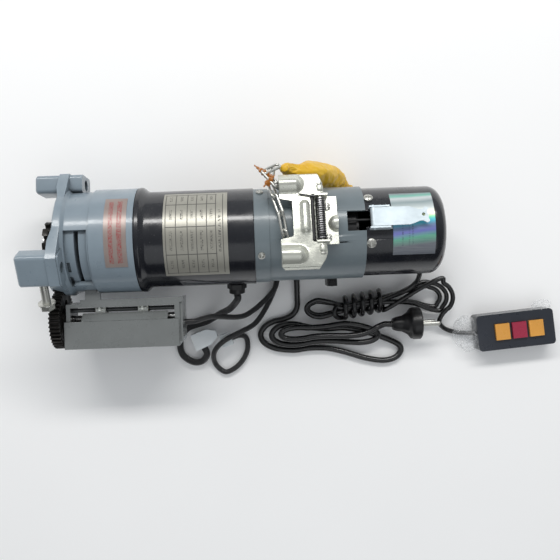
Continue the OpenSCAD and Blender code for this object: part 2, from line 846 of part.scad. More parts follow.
module link(inner_len, wire) {
    bend = 3.05;
    straight = inner_len / 2 - bend + wire / 2;
    for (turn = [0, 180]) rotate(turn) {
        translate([straight, 0, 0]) rotate(-90) rotate_extrude(angle = 180, $fn = 32)
            translate([bend, 0]) circle(r = wire / 2, $fn = 16);
        translate([-straight, bend, 0]) rotate([0, 90, 0])
            cylinder(h = 2 * straight, r = wire / 2, $fn = 16);
    }
}

// Running length of a path up to each point
function lengths(path) = [for (i = 0, total = 0; i < len(path);
    total = total + (i + 1 < len(path) ? norm(path[i + 1] - path[i]) : 0), i = i + 1) total];

function along_path(path, total, distance) =
    let (i = max([for (k = [0:len(path) - 2]) if (total[k] <= distance) k]),
         t = (distance - total[i]) / (total[i + 1] - total[i]))
    path[i] + (path[i + 1] - path[i]) * min(t, 1);

// Links at equal steps along a path, each turned a quarter from the last
module chain(path, first_turn) {
    total = lengths(path);
    whole = total[len(path) - 1];
    count = floor(whole / chain_pitch);
    for (i = [0:count - 1]) {
        a = along_path(path, total, i * chain_pitch);
        b = along_path(path, total, (i + 1) * chain_pitch);
        way = unit(b - a);
        yaw = atan2(way[1], way[0]);
        dip = asin(way[2]);
        translate((a + b) / 2) rotate([0, -dip, yaw]) rotate([first_turn + 90 * i, 0, 0])
            link(chain_pitch + 0.9, chain_wire);
    }
}

// Guide frame to the motor frame
function guide_frame(p) = [p[0],
    p[1] * cos(guide_angle) + p[2] * sin(guide_angle),
    p[2] * cos(guide_angle) - p[1] * sin(guide_angle)];

// Two strands that leave the wheel, one through the notch of the guide and one
// through the mouth of its dome, and meet at the neck of the bag
module hand_chain() {
    around = [for (i = [0:18]) let (a = 10 * i)
        [wheel_x, wheel_pitch_r * cos(a), -wheel_pitch_r * sin(a)]];
    near = [[wheel_x, -31, 20], [252.5, -30, 38], [249.5, -23, 49.6], [246.5, -12, 50.4],
        [245, 0, 51.5], [243, 10, 53], [239.5, 20, 52.5], [237, 32, 48.5], [235, 41, 44.5],
        [233.5, 50, 41], [238, 54.5, 38]];
    far = [[242.5, 54.5, 47], [237, 55.5, 50], [231.5, 49.5, 53], [231, 41, 54.6],
        [237, 34.5, 54.6], [245, 33, 52.6], [251, 31.6, 47], [252.5, 31, 38], [wheel_x, 31, 20]];
    color("silver") chain(smooth([for (p = concat(far, around, near)) guide_frame(p)], 4), 45);
}

// Position and radius along the bag, from its tied neck to its far end
bag_points = [[246, 61, 27, 4.5], [253, 62, 22, 8], [262, 61.5, 13, 11.5],
    [274, 60.2, 2, 13.5], [286, 60, -12, 14.5], [298, 58.5, -27, 14.5],
    [309, 54, -41, 13.5], [318, 50, -51, 9.5], [324, 48, -55, 3.5]];

module chain_bag() {
    line = smooth(bag_points, 4);
    color("gold") sweep([for (p = line) [p[0], p[1], p[2]]], [for (p = line) p[3]], 12);
}

// ---------------------------------------------------------------- limit switch

screw_x0 = box_x0 + 4;
screw_x1 = box_x0 + box_len - 6;
limit_phase = mesh_phase(idler_phase, idler_teeth, limit_gear_teeth, 180);

module limit_gear() {
    color([0.15, 0.13, 0.12]) translate([0, limit_y, 0]) difference() {
        union() {
            gear(gear_x - 0.5, 10, limit_gear_teeth, limit_module, 0, limit_phase);
            along(gear_x + 9) cylinder(h = 2.5, r = 11);
        }
        along(gear_x - 2) cylinder(h = 16, r = screw_r + 0.01);
        for (i = [0:4]) along(gear_x - 2) rotate(72 * i)
            translate([16, 0, 0]) cylinder(h = 20, r = 4.5);
    }
}

// Edges of the opening over the nuts
slot_x = [box_x0 + 4, box_x0 + box_len - 5];
slot_y = [box_y0 - 17, box_y0 - 3.5];
end_plate = 2.5;

module limit_screw() {
    threads = floor((screw_x1 - screw_x0 - 8) / screw_lead * 2);
    step = screw_lead / 2;
    color("silver") translate([0, limit_y, 0]) {
        along(gear_x - 2) cylinder(h = screw_x0 - gear_x + 2, r = screw_r);
        along(screw_x0) rotate_extrude($fn = 32) polygon(concat([[0, 0], [screw_r, 0]],
            [for (i = [1:threads]) each [[screw_r, step * i + 0.2],
                [screw_r - 0.7, step * i + 0.6], [screw_r - 0.7, step * i + 0.9],
                [screw_r, step * i + 1.3]]],
            [[screw_r, screw_x1 - screw_x0], [0, screw_x1 - screw_x0]]));
        along(screw_x1) cylinder(h = 5.7, r = 2.5);
    }
}

// Travelling nut with an arm on the guide rods and a T-shaped pointer
module limit_nut(x) {
    arm = [4, 14];
    arm_top = 9;
    color("ivory") translate([x, limit_y, 0]) difference() {
        union() {
            along(-5) cylinder(h = 10, r = 8.5);
            block([-5, arm[0], -6], [5, arm[1], arm_top]);
            block([-1.2, 8.6, arm_top - 1], [1.2, 12.6, arm_top + 4]);
            block([-4, 9, arm_top - 1], [4, 10.6, arm_top + 2]);
        }
        along(-6) cylinder(h = 12, r = screw_r + running);
        translate([0, rod_y - limit_y, rod_z]) along(-6) cylinder(h = 12, r = 2 + running);
        translate([0, 9, -8]) along(-6) cylinder(h = 12, r = 2);
    }
}

module limit_box() {
    x1 = box_x0 + box_len;
    arm_x = [51, 66];
    color("gray") difference() {
        union() {
            difference() {
                block([box_x0, box_y1, box_bottom], [x1, box_y0, box_top]);
                block([box_x0 + sheet, box_y1 + sheet, box_bottom - 1],
                      [x1 - sheet, box_y0 - sheet, box_top - sheet]);
                // opening over the nuts
                block([slot_x[0], slot_y[0] - 8, box_top - 5], [slot_x[1], slot_y[1], box_top + 5]);
                block([slot_x[0], box_y1 - 1, box_top - 4], [slot_x[1], slot_y[0], box_top + 5]);
            }
            // flange along the top and the arm that reaches the casting
            block([46, box_y0 - 1, box_top - sheet], [x1 + 3, box_y0 + 4, box_top]);
            translate([arm_x[0], 0, 0]) along(0) linear_extrude(arm_x[1] - arm_x[0])
                polygon([[box_y0 + 3, box_top - 2 * sheet], [box_y0 + 3, box_top],
                    [-46.5, box_top - 2], [-46.5, box_top - 2 - 2 * sheet]]);
            // guide rods of the nuts
            for (bar = [[rod_y, rod_z, 2], [limit_y + 9, -8, 1.4]])
                translate([0, bar[0], bar[1]]) along(box_x0 + 1)
                    cylinder(h = box_len - 2, r = bar[2], $fn = 24);
            // bearing block of the screw
            block([screw_x1 + 1, box_y1 + 1, -9], [x1 - 1, box_y0 - 1, 9]);
        }
        translate([0, limit_y, 0]) along(box_x0 - 1) cylinder(h = 6, r = screw_r + running);
        translate([0, limit_y, 0]) along(screw_x1 - 1) cylinder(h = 12, r = 2.5 + running);
        along(30) cylinder(h = 33, r = skirt_r + 0.05, $fn = 96);
        along(62) cylinder(h = 120, r = cap_r + 0.6, $fn = 96);
    }
    // insulated end plate and its screws
    color("dimgray") block([x1 + 0.05, box_y1 + 2, box_bottom + 2],
        [x1 + end_plate, box_y0 + 3, box_top - sheet - 0.1]);
    color("silver") for (dy = [8, 20], dz = [-6, 6])
        translate([0, box_y1 + dy, dz]) along(x1 + end_plate) cylinder(h = 1, r = 1.6, $fn = 16);
}

// Front cover with a lip that slopes down behind the opening
module limit_cover() {
    top = box_top + 0.05;
    edge = slot_y[0] - 0.1;
    front = box_y1 - 0.1;
    color("gray") {
        block([box_x0 - 2, front - 1.7, top], [box_x0 + box_len - 1, edge, top + sheet]);
        block([box_x0 - 2, front - 1.7, box_bottom + 4],
              [box_x0 + box_len - 1, front, box_top + 1]);
        along(box_x0 + 15) linear_extrude(box_len - 27) polygon([
            [edge - 0.5, top + sheet], [edge - 0.5, top], [edge + 7.5, 9.6],
            [edge + 7.5, 10.8], [edge + 0.3, top + sheet]]);
    }
}

module limit_switches() {
    color([0.12, 0.12, 0.13]) for (x = [box_x0 + 22, box_x0 + 84]) translate([x, 0, 0]) {
        block([-10, box_y1 + sheet + 0.1, -8], [10, box_y1 + 12, 4]);
        block([-9, box_y1 + 12, 0], [9, box_y1 + 12.6, 2]);
    }
}

// ---------------------------------------------------------------- electrics

gland_x = 199;
gland_angle = -100;
cover_outlet = [390, -125];
box_inlets = [[-38, -45], [-36, floor_z + 8]];
cord_outlet_x = 262;

module junction_box() {
    color([0.08, 0.08, 0.09]) {
        difference() {
            block([249, -46, floor_z], [309, 2, -30]);
            block([251.5, -43.5, floor_z + 2.5], [306.5, -0.5, -20]);
            along(200) cylinder(h = 140, r = drum_r + 0.1, $fn = 96);
            for (inlet = box_inlets) translate([0, inlet[0], inlet[1]])
                along(247) cylinder(h = 6, r = lead_r + 0.2);
            translate([cord_outlet_x, -42, floor_z + 8]) rotate([90, 0, 0])
                cylinder(h = 6, r = cord_r + 0.2);
        }
        difference() {
            block([292, -54, -48], [302, -46.1, -22]);
            along(200) cylinder(h = 140, r = drum_r + 0.1, $fn = 96);
        }
    }
    color("silver") translate([297, -51.5, -22]) cylinder(h = 2, r = 3, $fn = 6);
    color("seagreen") block([268, -34, floor_z + 2.6], [300, -14, floor_z + 12]);
}

module cable_gland() {
    color([0.08, 0.08, 0.09]) turned(gland_angle) difference() {
        translate([gland_x, 0, 0]) {
            translate([0, 0, 44.6]) cylinder(h = 4, r = 6.9);
            translate([0, 0, barrel_r + 0.2]) cylinder(h = 5, r = 10, $fn = 6);
            translate([0, 0, barrel_r + 5]) cylinder(h = 5, r = 8);
        }
        translate([gland_x, 0, 40]) cylinder(h = 30, r = sleeve_r + 0.1);
    }
}

// Point straight out from the axis at an angle from +Z toward +Y
function radial_point(x, angle, radius) = [x, radius * sin(angle), radius * cos(angle)];

// Centre heights of a cable lying on the floor and of the layers above it
function layer(radius, index) = floor_z + radius + 0.2 + index * (2 * radius + 0.3);

module motor_cable() {
    low = layer(sleeve_r, 0);
    color([0.07, 0.07, 0.08]) cable(smooth([
        for (h = [43, 50, 56, 60, 64.5]) radial_point(gland_x, gland_angle, h),
        [190, -74, -30.5], [179, -80, -44], [163, -89, -55], [142, -96, low], [133.5, -110, low],
        [136, -125, low], [148, -133, low], [158, -131, low + 2],
        for (h = [16, 10, 5]) connector_point(0, [-1, -h])], 4), sleeve_r);
}

module limit_cable() {
    high = layer(lead_r, 0) + 10;
    over = connector_z + 4.5 + lead_r + 0.8;
    color([0.07, 0.07, 0.08]) {
        // from the limit-switch box to the junction box
        cable(smooth([
            [box_x0 + box_len + 2.8, limit_y - 6, 0], [156, limit_y - 6, -1], [172, -80, -12],
            [190, -82.5, -26], [206, -82, -37], [224, -70, -43], [238, -55, -45],
            [243, -38, -45], [248, -38, -45], [255, -38, -45]], 4), lead_r);
        // from the junction box round a free loop to the second connector
        cable(smooth([
            [255, -36, floor_z + 8], [248, -36, floor_z + 8], [243, -36.5, floor_z + 8],
            [238, -56, -57],
            [228, -76, -55], [216, -92, -51], [203, -99, over - 1], [194, -103, over],
            [184, -108, over + 0.5], [175, -115, over], [170, -124, high - 1],
            [171, -136, layer(lead_r, 0)], [182, -145, layer(lead_r, 0)],
            [197, -137, layer(lead_r, 0)], [206, -122, layer(lead_r, 0)],
            [205, -108, layer(lead_r, 0) + 2],
            for (h = [14, 8, 3]) connector_point(1, [h, 0])], 4), lead_r);
    }
}

// Centre, turn and mid height of the two wiring connectors
connector_at = [[158, -108], [184, -109]];
connector_turn = [20, 16];
connector_z = floor_z + 10.2;

function connector_point(i, p) = let (a = connector_turn[i])
    [connector_at[i][0] + p[0] * cos(a) - p[1] * sin(a),
     connector_at[i][1] + p[0] * sin(a) + p[1] * cos(a), connector_z];

module connectors() {
    color("white") {
        translate([connector_at[0][0], connector_at[0][1], 0]) rotate([0, 0, connector_turn[0]])
            difference() {
                translate([0, 0, connector_z - 5.5]) linear_extrude(11) polygon([
                    [-10, -9], [8, -8], [17, -3], [17, 4], [8, 9], [-10, 9]]);
                translate([-1, -4.8, connector_z]) rotate([90, 0, 0])
                    cylinder(h = 8, r = sleeve_r + 0.1);
            }
        translate([connector_at[1][0], connector_at[1][1], 0]) rotate([0, 0, connector_turn[1]])
            difference() {
                translate([0, 0, connector_z]) cube([12, 13, 9], center = true);
                translate([2.8, 0, connector_z]) rotate([0, 90, 0])
                    cylinder(h = 8, r = lead_r + 0.1);
            }
    }
}

// The bundled station cable runs straight between these two points
hank_ends = [[312, -79], [353, -72]];
hank_wrap_r = 3 * station_cord_r + 3.4;
hank_z = floor_z + hank_wrap_r + station_cord_r + 0.3;

// Point of the bundle: a share along it, then an offset across and up
function hank_point(share, across, up) =
    let (way = unit(hank_ends[1] - hank_ends[0]),
         middle = hank_ends[0] + share * (hank_ends[1] - hank_ends[0]))
    [middle[0] - across * way[1], middle[1] + across * way[0], hank_z + up];

// Points on an oval turn at a centre, from one angle to another
function oval(centre, size, from, to, z0, z1, steps) = [for (i = [0:steps])
    let (a = from + (to - from) * i / steps)
    [centre[0] + size[0] * cos(a), centre[1] + size[1] * sin(a), z0 + (z1 - z0) * i / steps]];

module station_cable() {
    r = station_cord_r;
    half = r + 0.15;
    row = 2 * r + 0.3;
    wraps = 5;
    left = [286, -79];
    right = [400, -72];
    out = radial_point(cover_outlet[0], cover_outlet[1], 1);
    start = [for (radius = [38, 44, 51]) [out[0], out[1] * radius, out[2] * radius]];
    ring_z = layer(r, 0);
    color([0.05, 0.05, 0.06]) cable(smooth(concat(
        start,
        [[388, -54, -41], [372, -66, -48]],
        [for (share = [1, 0.5, 0]) hank_point(share, half, -row)],
        oval(left, [13, 7], 80, 280, hank_z - row, hank_z - row, 5),
        [for (share = [0, 0.5, 1]) hank_point(share, -half, -row)],
        [[386, -76, ring_z + 1]],
        oval(right, [17, 12], -60, 100, ring_z, ring_z + row, 6),
        [for (share = [1, 0.5, 0]) hank_point(share, half, 0)],
        oval(left, [15, 9], 80, 280, hank_z, hank_z, 5),
        [for (share = [0, 0.5, 1]) hank_point(share, -half, 0)],
        [[386, -77, ring_z + row + 2]],
        oval(right, [23, 17], -60, 110, ring_z + row, ring_z + 2 * row, 7),
        [for (share = [1, 0.5, 0]) hank_point(share, 0, row)],
        [hank_point(-0.22, 3, row + 1), hank_point(-0.3, -6, row + 3)],
        [for (i = [0:wraps * 8]) let (a = -100 + 360 * i / 8)
            hank_point(-0.06 + 1.12 * i / wraps / 8, hank_wrap_r * sin(a), hank_wrap_r * cos(a))],
        oval(right, [28, 21], 70, -50, ring_z + 3 * row, ring_z + 2 * row + 1, 6),
        [[414, -98, ring_z + row + 2], [422, -107, ring_z + 1], [437, -111.5, ring_z + 1],
         [448, -111.8, floor_z + 8], [457, -111.6, floor_z + 8]]), 3), r);
}

module power_cord() {
    level = [for (i = [0:2]) layer(cord_r, i)];
    color([0.05, 0.05, 0.06]) cable(smooth([
        [cord_outlet_x, -38, floor_z + 8], [cord_outlet_x, -50, floor_z + 8],
        [262, -66, level[0] + 1], [260, -82, level[0]], [246, -90, level[0]],
        // widest turn, on the floor
        [230, -94, level[0]], [221, -106, level[0]], [230, -119, level[0]],
        [256, -124, level[0]], [284, -122, level[0]], [312, -128, level[0]],
        [345, -138, level[0]], [366, -136, level[0]], [373, -126, level[0]],
        [364, -118, level[0] + 2], [340, -108, level[1] - 1], [312, -101, level[1]],
        [284, -101, level[1]], [258, -95, level[1]],
        // second turn
        [241, -97, level[1]], [233, -106, level[1]], [241, -115, level[1]],
        [262, -117, level[1]], [284, -114, level[1]], [312, -116, level[1]],
        [336, -117, level[1]], [347, -110, level[1] + 2], [338, -102, level[2] - 1],
        [312, -96, level[2]], [284, -99, level[2]], [262, -98, level[2]],
        // third turn
        [248, -100, level[2]], [243, -105, level[2]], [250, -110, level[2]],
        [268, -110, level[2]], [284, -108, level[2]], [312, -109, level[2]],
        [332, -107, level[2]], [345, -101, level[2] + 1], [353, plug_y, plug_z],
        [358, plug_y, plug_z], [364, plug_y, plug_z], [369, plug_y, plug_z]], 3), cord_r);
}

// Moulded plug with two round pins, its face at the far end
plug_y = -98;
plug_z = floor_z + 17.2;
plug_face = 392;

module plug_body() {
    color([0.06, 0.06, 0.07]) difference() {
        translate([0, plug_y, plug_z]) along(0) rotate_extrude($fn = 64) polygon([
            [0, 362], [6, 362], [7.5, 366], [8.5, 372], [12, 378], [16, 381], [17, 384],
            [17, plug_face - 1.5], [15.5, plug_face], [0, plug_face]]);
        translate([0, plug_y, plug_z]) along(360) cylinder(h = 10, r = cord_r + 0.1);
    }
}

module plug_pins() {
    pin_r = 2.4;
    pin_len = 19;
    color("silver") for (side = [-1, 1])
        translate([0, plug_y, plug_z + side * 9.5]) along(plug_face + 0.02)
            rotate_extrude($fn = 32) polygon(concat([[0, 0], [pin_r, 0]],
                [for (a = [0:15:75]) [pin_r * cos(a), pin_len - pin_r + pin_r * sin(a)]],
                [[0, pin_len]]));
}

// ---------------------------------------------------------------- push-button station

module at_station() {
    translate([452, -112, floor_z]) rotate([0, 0, 4.5]) children();
}

button_x = [26, 44, 62];
button_size = [15, 17];

module station_case() {
    color([0.25, 0.27, 0.32]) at_station() difference() {
        linear_extrude(station_h) offset(r = 4, $fn = 32)
            translate([4, -station_w / 2 + 4]) square([station_len - 8, station_w - 8]);
        translate([2, -station_w / 2 + 2, 2]) cube([station_len - 4, station_w - 4, station_h - 4]);
        for (x = button_x) translate([x - button_size[0] / 2 - 0.15, -button_size[1] / 2 - 0.15, 10])
            cube([button_size[0] + 0.3, button_size[1] + 0.3, 20]);
        translate([-5, 0, 8]) rotate([0, 90, 0]) cylinder(h = 12, r = cord_r + 0.3);
    }
}

module station_switches() {
    color("dimgray") at_station() {
        for (x = button_x) translate([x - 7, -8, 2.05]) cube([14, 16, 6]);
    }
}

module button(index, shade) {
    color(shade) at_station() translate([button_x[index], 0, 0]) {
        translate([-button_size[0] / 2, -button_size[1] / 2, station_h - 6])
            cube([button_size[0], button_size[1], 9]);
        translate([-button_size[0] / 2 - 1, -button_size[1] / 2 - 1, station_h - 6.5])
            cube([button_size[0] + 2, button_size[1] + 2, 2]);
        translate([0, 0, 10.8]) cylinder(h = 4, r = 3);
    }
}

module button_up() {
    button(0, "orange");
}

module button_stop() {
    button(1, "crimson");
}

module button_down() {
    button(2, "orange");
}

// ---------------------------------------------------------------- labels

// Thin plate curved around a shell, between two angles
module curved_label(x0, x1, radius, from, to) {
    along(x0) rotate(90 - to) rotate_extrude(angle = to - from, $fn = 96)
        translate([radius + 0.02, 0]) square([0.3, x1 - x0]);
}

module labels() {
    color("silver") {
        curved_label(133.5, 194, barrel_r, -49, 63);
        curved_label(79, 100, cap_r, -30, 49);
        curved_label(349, 389, cover_r, -33, 53);
    }
}

mount_casting();
clamp_bolts();
output_shaft();
output_sprocket();
output_bearing();
limit_pinion();
idler_gear();
idler_stud();
output_gear();
layshaft_a();
layshaft_b();
cluster_gear();
layshaft_bushes();
gearbox_cap();
motor_barrel();
stator_core();
stator_windings();
rotor_core();
rotor_shaft();
rotor_bearings();
band_flange();
housing_screws();
drum_housing();
chain_wheel();
brake_disc();
brake_armature();
brake_magnet();
brake_springs();
end_cover();
capacitor();
brake_lever();
lever_bracket();
chain_guide();
guide_bracket();
guide_pin();
guide_spring();
hand_chain();
chain_bag();
limit_gear();
limit_screw();
limit_nut(box_x0 + 32);  // limit_nut_up
limit_nut(box_x0 + 74);  // limit_nut_down
limit_box();
limit_cover();
limit_switches();
junction_box();
cable_gland();
limit_cable();
motor_cable();
connectors();
power_cord();
station_cable();
plug_body();
plug_pins();
station_case();
station_switches();
button_up();
button_stop();
button_down();
labels();
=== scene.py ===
import math
import random

import bmesh
import bpy
from mathutils import Matrix, Vector, noise


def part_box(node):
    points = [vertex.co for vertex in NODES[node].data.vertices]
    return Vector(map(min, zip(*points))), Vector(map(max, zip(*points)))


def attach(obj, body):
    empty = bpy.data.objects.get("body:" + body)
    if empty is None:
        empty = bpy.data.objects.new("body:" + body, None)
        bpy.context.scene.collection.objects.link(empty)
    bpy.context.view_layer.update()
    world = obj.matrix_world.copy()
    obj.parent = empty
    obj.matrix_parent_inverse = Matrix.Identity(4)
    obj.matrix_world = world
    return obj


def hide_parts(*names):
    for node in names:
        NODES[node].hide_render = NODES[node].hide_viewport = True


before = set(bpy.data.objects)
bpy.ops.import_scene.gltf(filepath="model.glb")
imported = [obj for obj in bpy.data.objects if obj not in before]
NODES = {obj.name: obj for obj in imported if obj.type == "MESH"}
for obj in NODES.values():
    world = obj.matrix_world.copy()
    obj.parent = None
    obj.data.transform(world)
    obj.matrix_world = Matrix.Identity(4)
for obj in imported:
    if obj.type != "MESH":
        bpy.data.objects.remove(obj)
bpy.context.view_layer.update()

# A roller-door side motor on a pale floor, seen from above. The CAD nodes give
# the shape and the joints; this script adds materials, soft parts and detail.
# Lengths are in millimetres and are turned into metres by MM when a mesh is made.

MM = 0.001
HOUSING = "housing"
GUIDE_BODY = "chain_guide"
WELD_DISTANCE = 0.002


# ---------------------------------------------------------------- frame sizes

def low(node):
    """Lowest corner of a CAD node, in millimetres."""
    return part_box(node)[0] / MM


def high(node):
    """Highest corner of a CAD node, in millimetres."""
    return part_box(node)[1] / MM


FLOOR_Z = low("junction_box").z

# The chain guide is built upright and turned about the motor axis by its angle.
GUIDE_ANGLE = math.radians(15)


def around(angle):
    """Turn that takes a part built with +Z outward to an angle from +Z toward +Y."""
    return Matrix.Rotation(-angle, 4, "X")


GUIDE = around(GUIDE_ANGLE)


# ---------------------------------------------------------------- shader graph

class Graph:
    """The shader nodes of one material, with short calls for the common ones."""

    def __init__(self, name):
        self.material = bpy.data.materials.new(name)
        self.material.use_nodes = True
        self.tree = self.material.node_tree
        self.tree.nodes.clear()
        self.shader = self.node("ShaderNodeBsdfPrincipled")
        output = self.node("ShaderNodeOutputMaterial")
        self.link(self.shader.outputs[0], output.inputs[0])
        self.place = self.node("ShaderNodeTexCoord").outputs["Object"]

    def node(self, kind, **settings):
        made = self.tree.nodes.new(kind)
        for key, value in settings.items():
            setattr(made, key, value)
        return made

    def link(self, source, target):
        self.tree.links.new(source, target)

    def feed(self, target, value):
        """Links a socket, or sets a plain value."""
        if isinstance(value, bpy.types.NodeSocket):
            self.link(value, target)
        elif isinstance(value, (tuple, list)) and len(value) == 3 and len(target.default_value) == 4:
            target.default_value = (*value, 1)
        else:
            target.default_value = value

    def set(self, **inputs):
        """Feeds inputs of the shader; a name's underscores stand for spaces."""
        for key, value in inputs.items():
            self.feed(self.shader.inputs[key.replace("_", " ")], value)

    def noise(self, scale, detail=3.0, roughness=0.5, vector=None):
        """Cloudy noise from 0 to 1; without a vector it follows the piece's own place."""
        made = self.node("ShaderNodeTexNoise")
        self.feed(made.inputs["Vector"], vector or self.place)
        made.inputs["Scale"].default_value = scale
        made.inputs["Detail"].default_value = detail
        made.inputs["Roughness"].default_value = roughness
        return made.outputs[0]

    def stretch(self, x, y, z, vector=None):
        """Coordinates scaled by a factor along each axis."""
        made = self.node("ShaderNodeMapping")
        self.feed(made.inputs["Vector"], vector or self.place)
        made.inputs["Scale"].default_value = (x, y, z)
        return made.outputs[0]

    def ramp(self, factor, *stops):
        """Smooth steps between (position, value) stops; a value is a number or a colour."""
        made = self.node("ShaderNodeValToRGB")
        band = made.color_ramp.elements
        band.remove(band[1])
        for index, (position, value) in enumerate(stops):
            element = band.new(position) if index else band[0]
            element.position = position
            colour = value if isinstance(value, (tuple, list)) else (value,) * 3
            element.color = (*colour, 1)
        self.feed(made.inputs[0], factor)
        return made.outputs[0]

    def mix(self, factor, a, b):
        """Colour that goes from a to b as the factor goes from 0 to 1."""
        made = self.node("ShaderNodeMix", data_type="RGBA")
        self.feed(made.inputs[0], factor)
        self.feed(made.inputs[6], a)
        self.feed(made.inputs[7], b)
        return made.outputs[2]

    def math(self, operation, a, b=0.0):
        """One arithmetic step on numbers or sockets."""
        made = self.node("ShaderNodeMath", operation=operation)
        for target, value in zip(made.inputs, (a, b)):
            self.feed(target, value)
        return made.outputs[0]

    def bump(self, *layers):
        """Chains bumps of (height, strength, distance in millimetres)."""
        normal = None
        for height, strength, distance in layers:
            made = self.node("ShaderNodeBump")
            made.inputs["Strength"].default_value = strength
            made.inputs["Distance"].default_value = distance * MM
            self.feed(made.inputs["Height"], height)
            if normal:
                self.link(normal, made.inputs["Normal"])
            normal = made.outputs[0]
        self.link(normal, self.shader.inputs["Normal"])

    def edges(self, radius):
        """One on convex edges and zero on flats, from a normal rounded by a radius."""
        rounded = self.node("ShaderNodeBevel", samples=4)
        rounded.inputs["Radius"].default_value = radius * MM
        flat = self.node("ShaderNodeNewGeometry").outputs["Normal"]
        dot = self.node("ShaderNodeVectorMath", operation="DOT_PRODUCT")
        self.link(rounded.outputs[0], dot.inputs[0])
        self.link(flat, dot.inputs[1])
        bend = self.math("SUBTRACT", 1.0, dot.outputs["Value"])
        return self.ramp(bend, (0.02, 0.0), (0.2, 1.0))

    def openness(self, distance):
        """Zero deep in hollows and one on open surfaces, felt over a distance; enamel uses it to
        paint shade into recesses.
        """
        made = self.node("ShaderNodeAmbientOcclusion", samples=4)
        made.inputs["Distance"].default_value = distance * MM
        return self.ramp(made.outputs["AO"], (0.2, 0.0), (0.75, 1.0))

    def axes(self, vector=None):
        """The x, y and z of a vector, or of the piece's own place."""
        made = self.node("ShaderNodeSeparateXYZ")
        self.feed(made.inputs[0], vector or self.place)
        return made.outputs

    def uv(self):
        """Around and along coordinates that sweep() writes on a tube, in millimetres."""
        return self.node("ShaderNodeUVMap", uv_map="run").outputs[0]

    def label_grain(self, along, turn, size, seed):
        """Coordinates for noise on a label, with its own scale along and around the axis."""
        made = self.node("ShaderNodeCombineXYZ")
        self.feed(made.inputs[0], self.math("MULTIPLY", along, size[0]))
        self.feed(made.inputs[1], self.math("MULTIPLY", turn, size[1]))
        made.inputs[2].default_value = seed
        return made.outputs[0]


def tint(colour, factor):
    """A darker or lighter version of a colour."""
    return tuple(channel * factor for channel in colour)


# ---------------------------------------------------------------- materials

def enamel(name, colour, rough=0.34, coat=0.35, peel=0.12, hollow=False):
    """Sprayed enamel: orange peel, faint waviness, thin paint on edges and a little dust.
    With hollow, shade is painted into recesses: the paint darkens to a sixth of its colour where
    ambient occlusion finds the surface enclosed."""
    g = Graph(name)
    cloud = g.noise(35, 4, 0.6)
    base = g.mix(g.ramp(cloud, (0.35, 0.0), (0.7, 1.0)), tint(colour, 0.93), tint(colour, 1.05))
    edge = g.math("MULTIPLY", g.edges(0.9), g.ramp(g.noise(260, 5, 0.7), (0.42, 0.0), (0.6, 1.0)))
    base = g.mix(g.math("MULTIPLY", edge, 0.45), base, tint(colour, 1.7))
    speck = g.ramp(g.noise(900, 2, 0.5), (0.68, 0.0), (0.75, 1.0))
    base = g.mix(g.math("MULTIPLY", speck, 0.12), base, (0.5, 0.5, 0.48))
    # Painted shade: with hollow, recesses found by ambient occlusion darken to a sixth of the paint
    # colour.
    if hollow:
        base = g.mix(g.openness(14), tint(colour, 0.16), base)
    g.set(Base_Color=base, Metallic=0.0, Coat_Weight=coat, Coat_Roughness=0.12,
          Roughness=g.ramp(g.noise(60, 5, 0.65), (0.3, rough - 0.05), (0.7, rough + 0.12)))
    g.bump((g.noise(110, 3, 0.5), 0.10, 0.5), (g.noise(1300, 2, 0.5), peel, 0.06))
    return g.material


def plated(name, colour, rough=0.3, metallic=1.0, stain=0.12, pits=0.08):
    """Zinc plate or bare metal: fine streaks, cloudy stains and rubbed edges."""
    g = Graph(name)
    grain = g.noise(220, 4, 0.6, g.stretch(1, 1, 8))
    cloud = g.ramp(g.noise(45, 5, 0.62), (0.32, 0.0), (0.7, 1.0))
    base = g.mix(g.math("MULTIPLY", cloud, stain), colour, tint(colour, 0.55))
    base = g.mix(g.math("MULTIPLY", g.edges(0.5), 0.5), base, tint(colour, 1.25))
    fine = g.math("MULTIPLY", g.ramp(grain, (0.25, 0.0), (0.75, 1.0)), 0.16)
    soft = g.math("MULTIPLY", cloud, 0.14)
    g.set(Base_Color=base, Metallic=metallic,
          Roughness=g.math("ADD", g.math("ADD", fine, soft), rough - 0.1))
    g.bump((grain, 0.06, 0.05), (g.noise(600, 4, 0.7), pits, 0.05))
    return g.material


def black_iron():
    """Oiled black steel: dull with a wet film in patches."""
    g = Graph("blackened_steel")
    film = g.ramp(g.noise(150, 4, 0.6), (0.4, 0.0), (0.65, 1.0))
    edge = g.edges(0.4)
    base = g.mix(g.math("MULTIPLY", edge, 0.35), (0.022, 0.02, 0.018), (0.16, 0.15, 0.14))
    g.set(Base_Color=base, Metallic=0.75, Coat_Weight=g.math("MULTIPLY", film, 0.5),
          Coat_Roughness=0.2, Roughness=g.ramp(film, (0.0, 0.57), (1.0, 0.34)))
    g.bump((g.noise(700, 4, 0.65), 0.14, 0.08))
    return g.material


def moulded(name, colour, rough=0.4, glow=0.0, coat=0.0):
    """Moulded plastic with a fine spark-eroded grain."""
    g = Graph(name)
    cloud = g.noise(40, 4, 0.6)
    base = g.mix(g.ramp(cloud, (0.35, 0.0), (0.7, 1.0)), tint(colour, 0.94), tint(colour, 1.05))
    base = g.mix(g.math("MULTIPLY", g.edges(0.4), 0.25), base, tint(colour, 1.5))
    g.set(Base_Color=base, Subsurface_Weight=glow, Subsurface_Radius=(1.0, 0.9, 0.8),
          Subsurface_Scale=2.0 * MM, Coat_Weight=coat, Coat_Roughness=0.08,
          Roughness=g.ramp(g.noise(90, 4, 0.6), (0.3, rough - 0.06), (0.7, rough + 0.1)))
    g.bump((g.noise(1500, 2, 0.5), 0.10, 0.04), (g.noise(80, 3, 0.5), 0.06, 0.3))
    return g.material


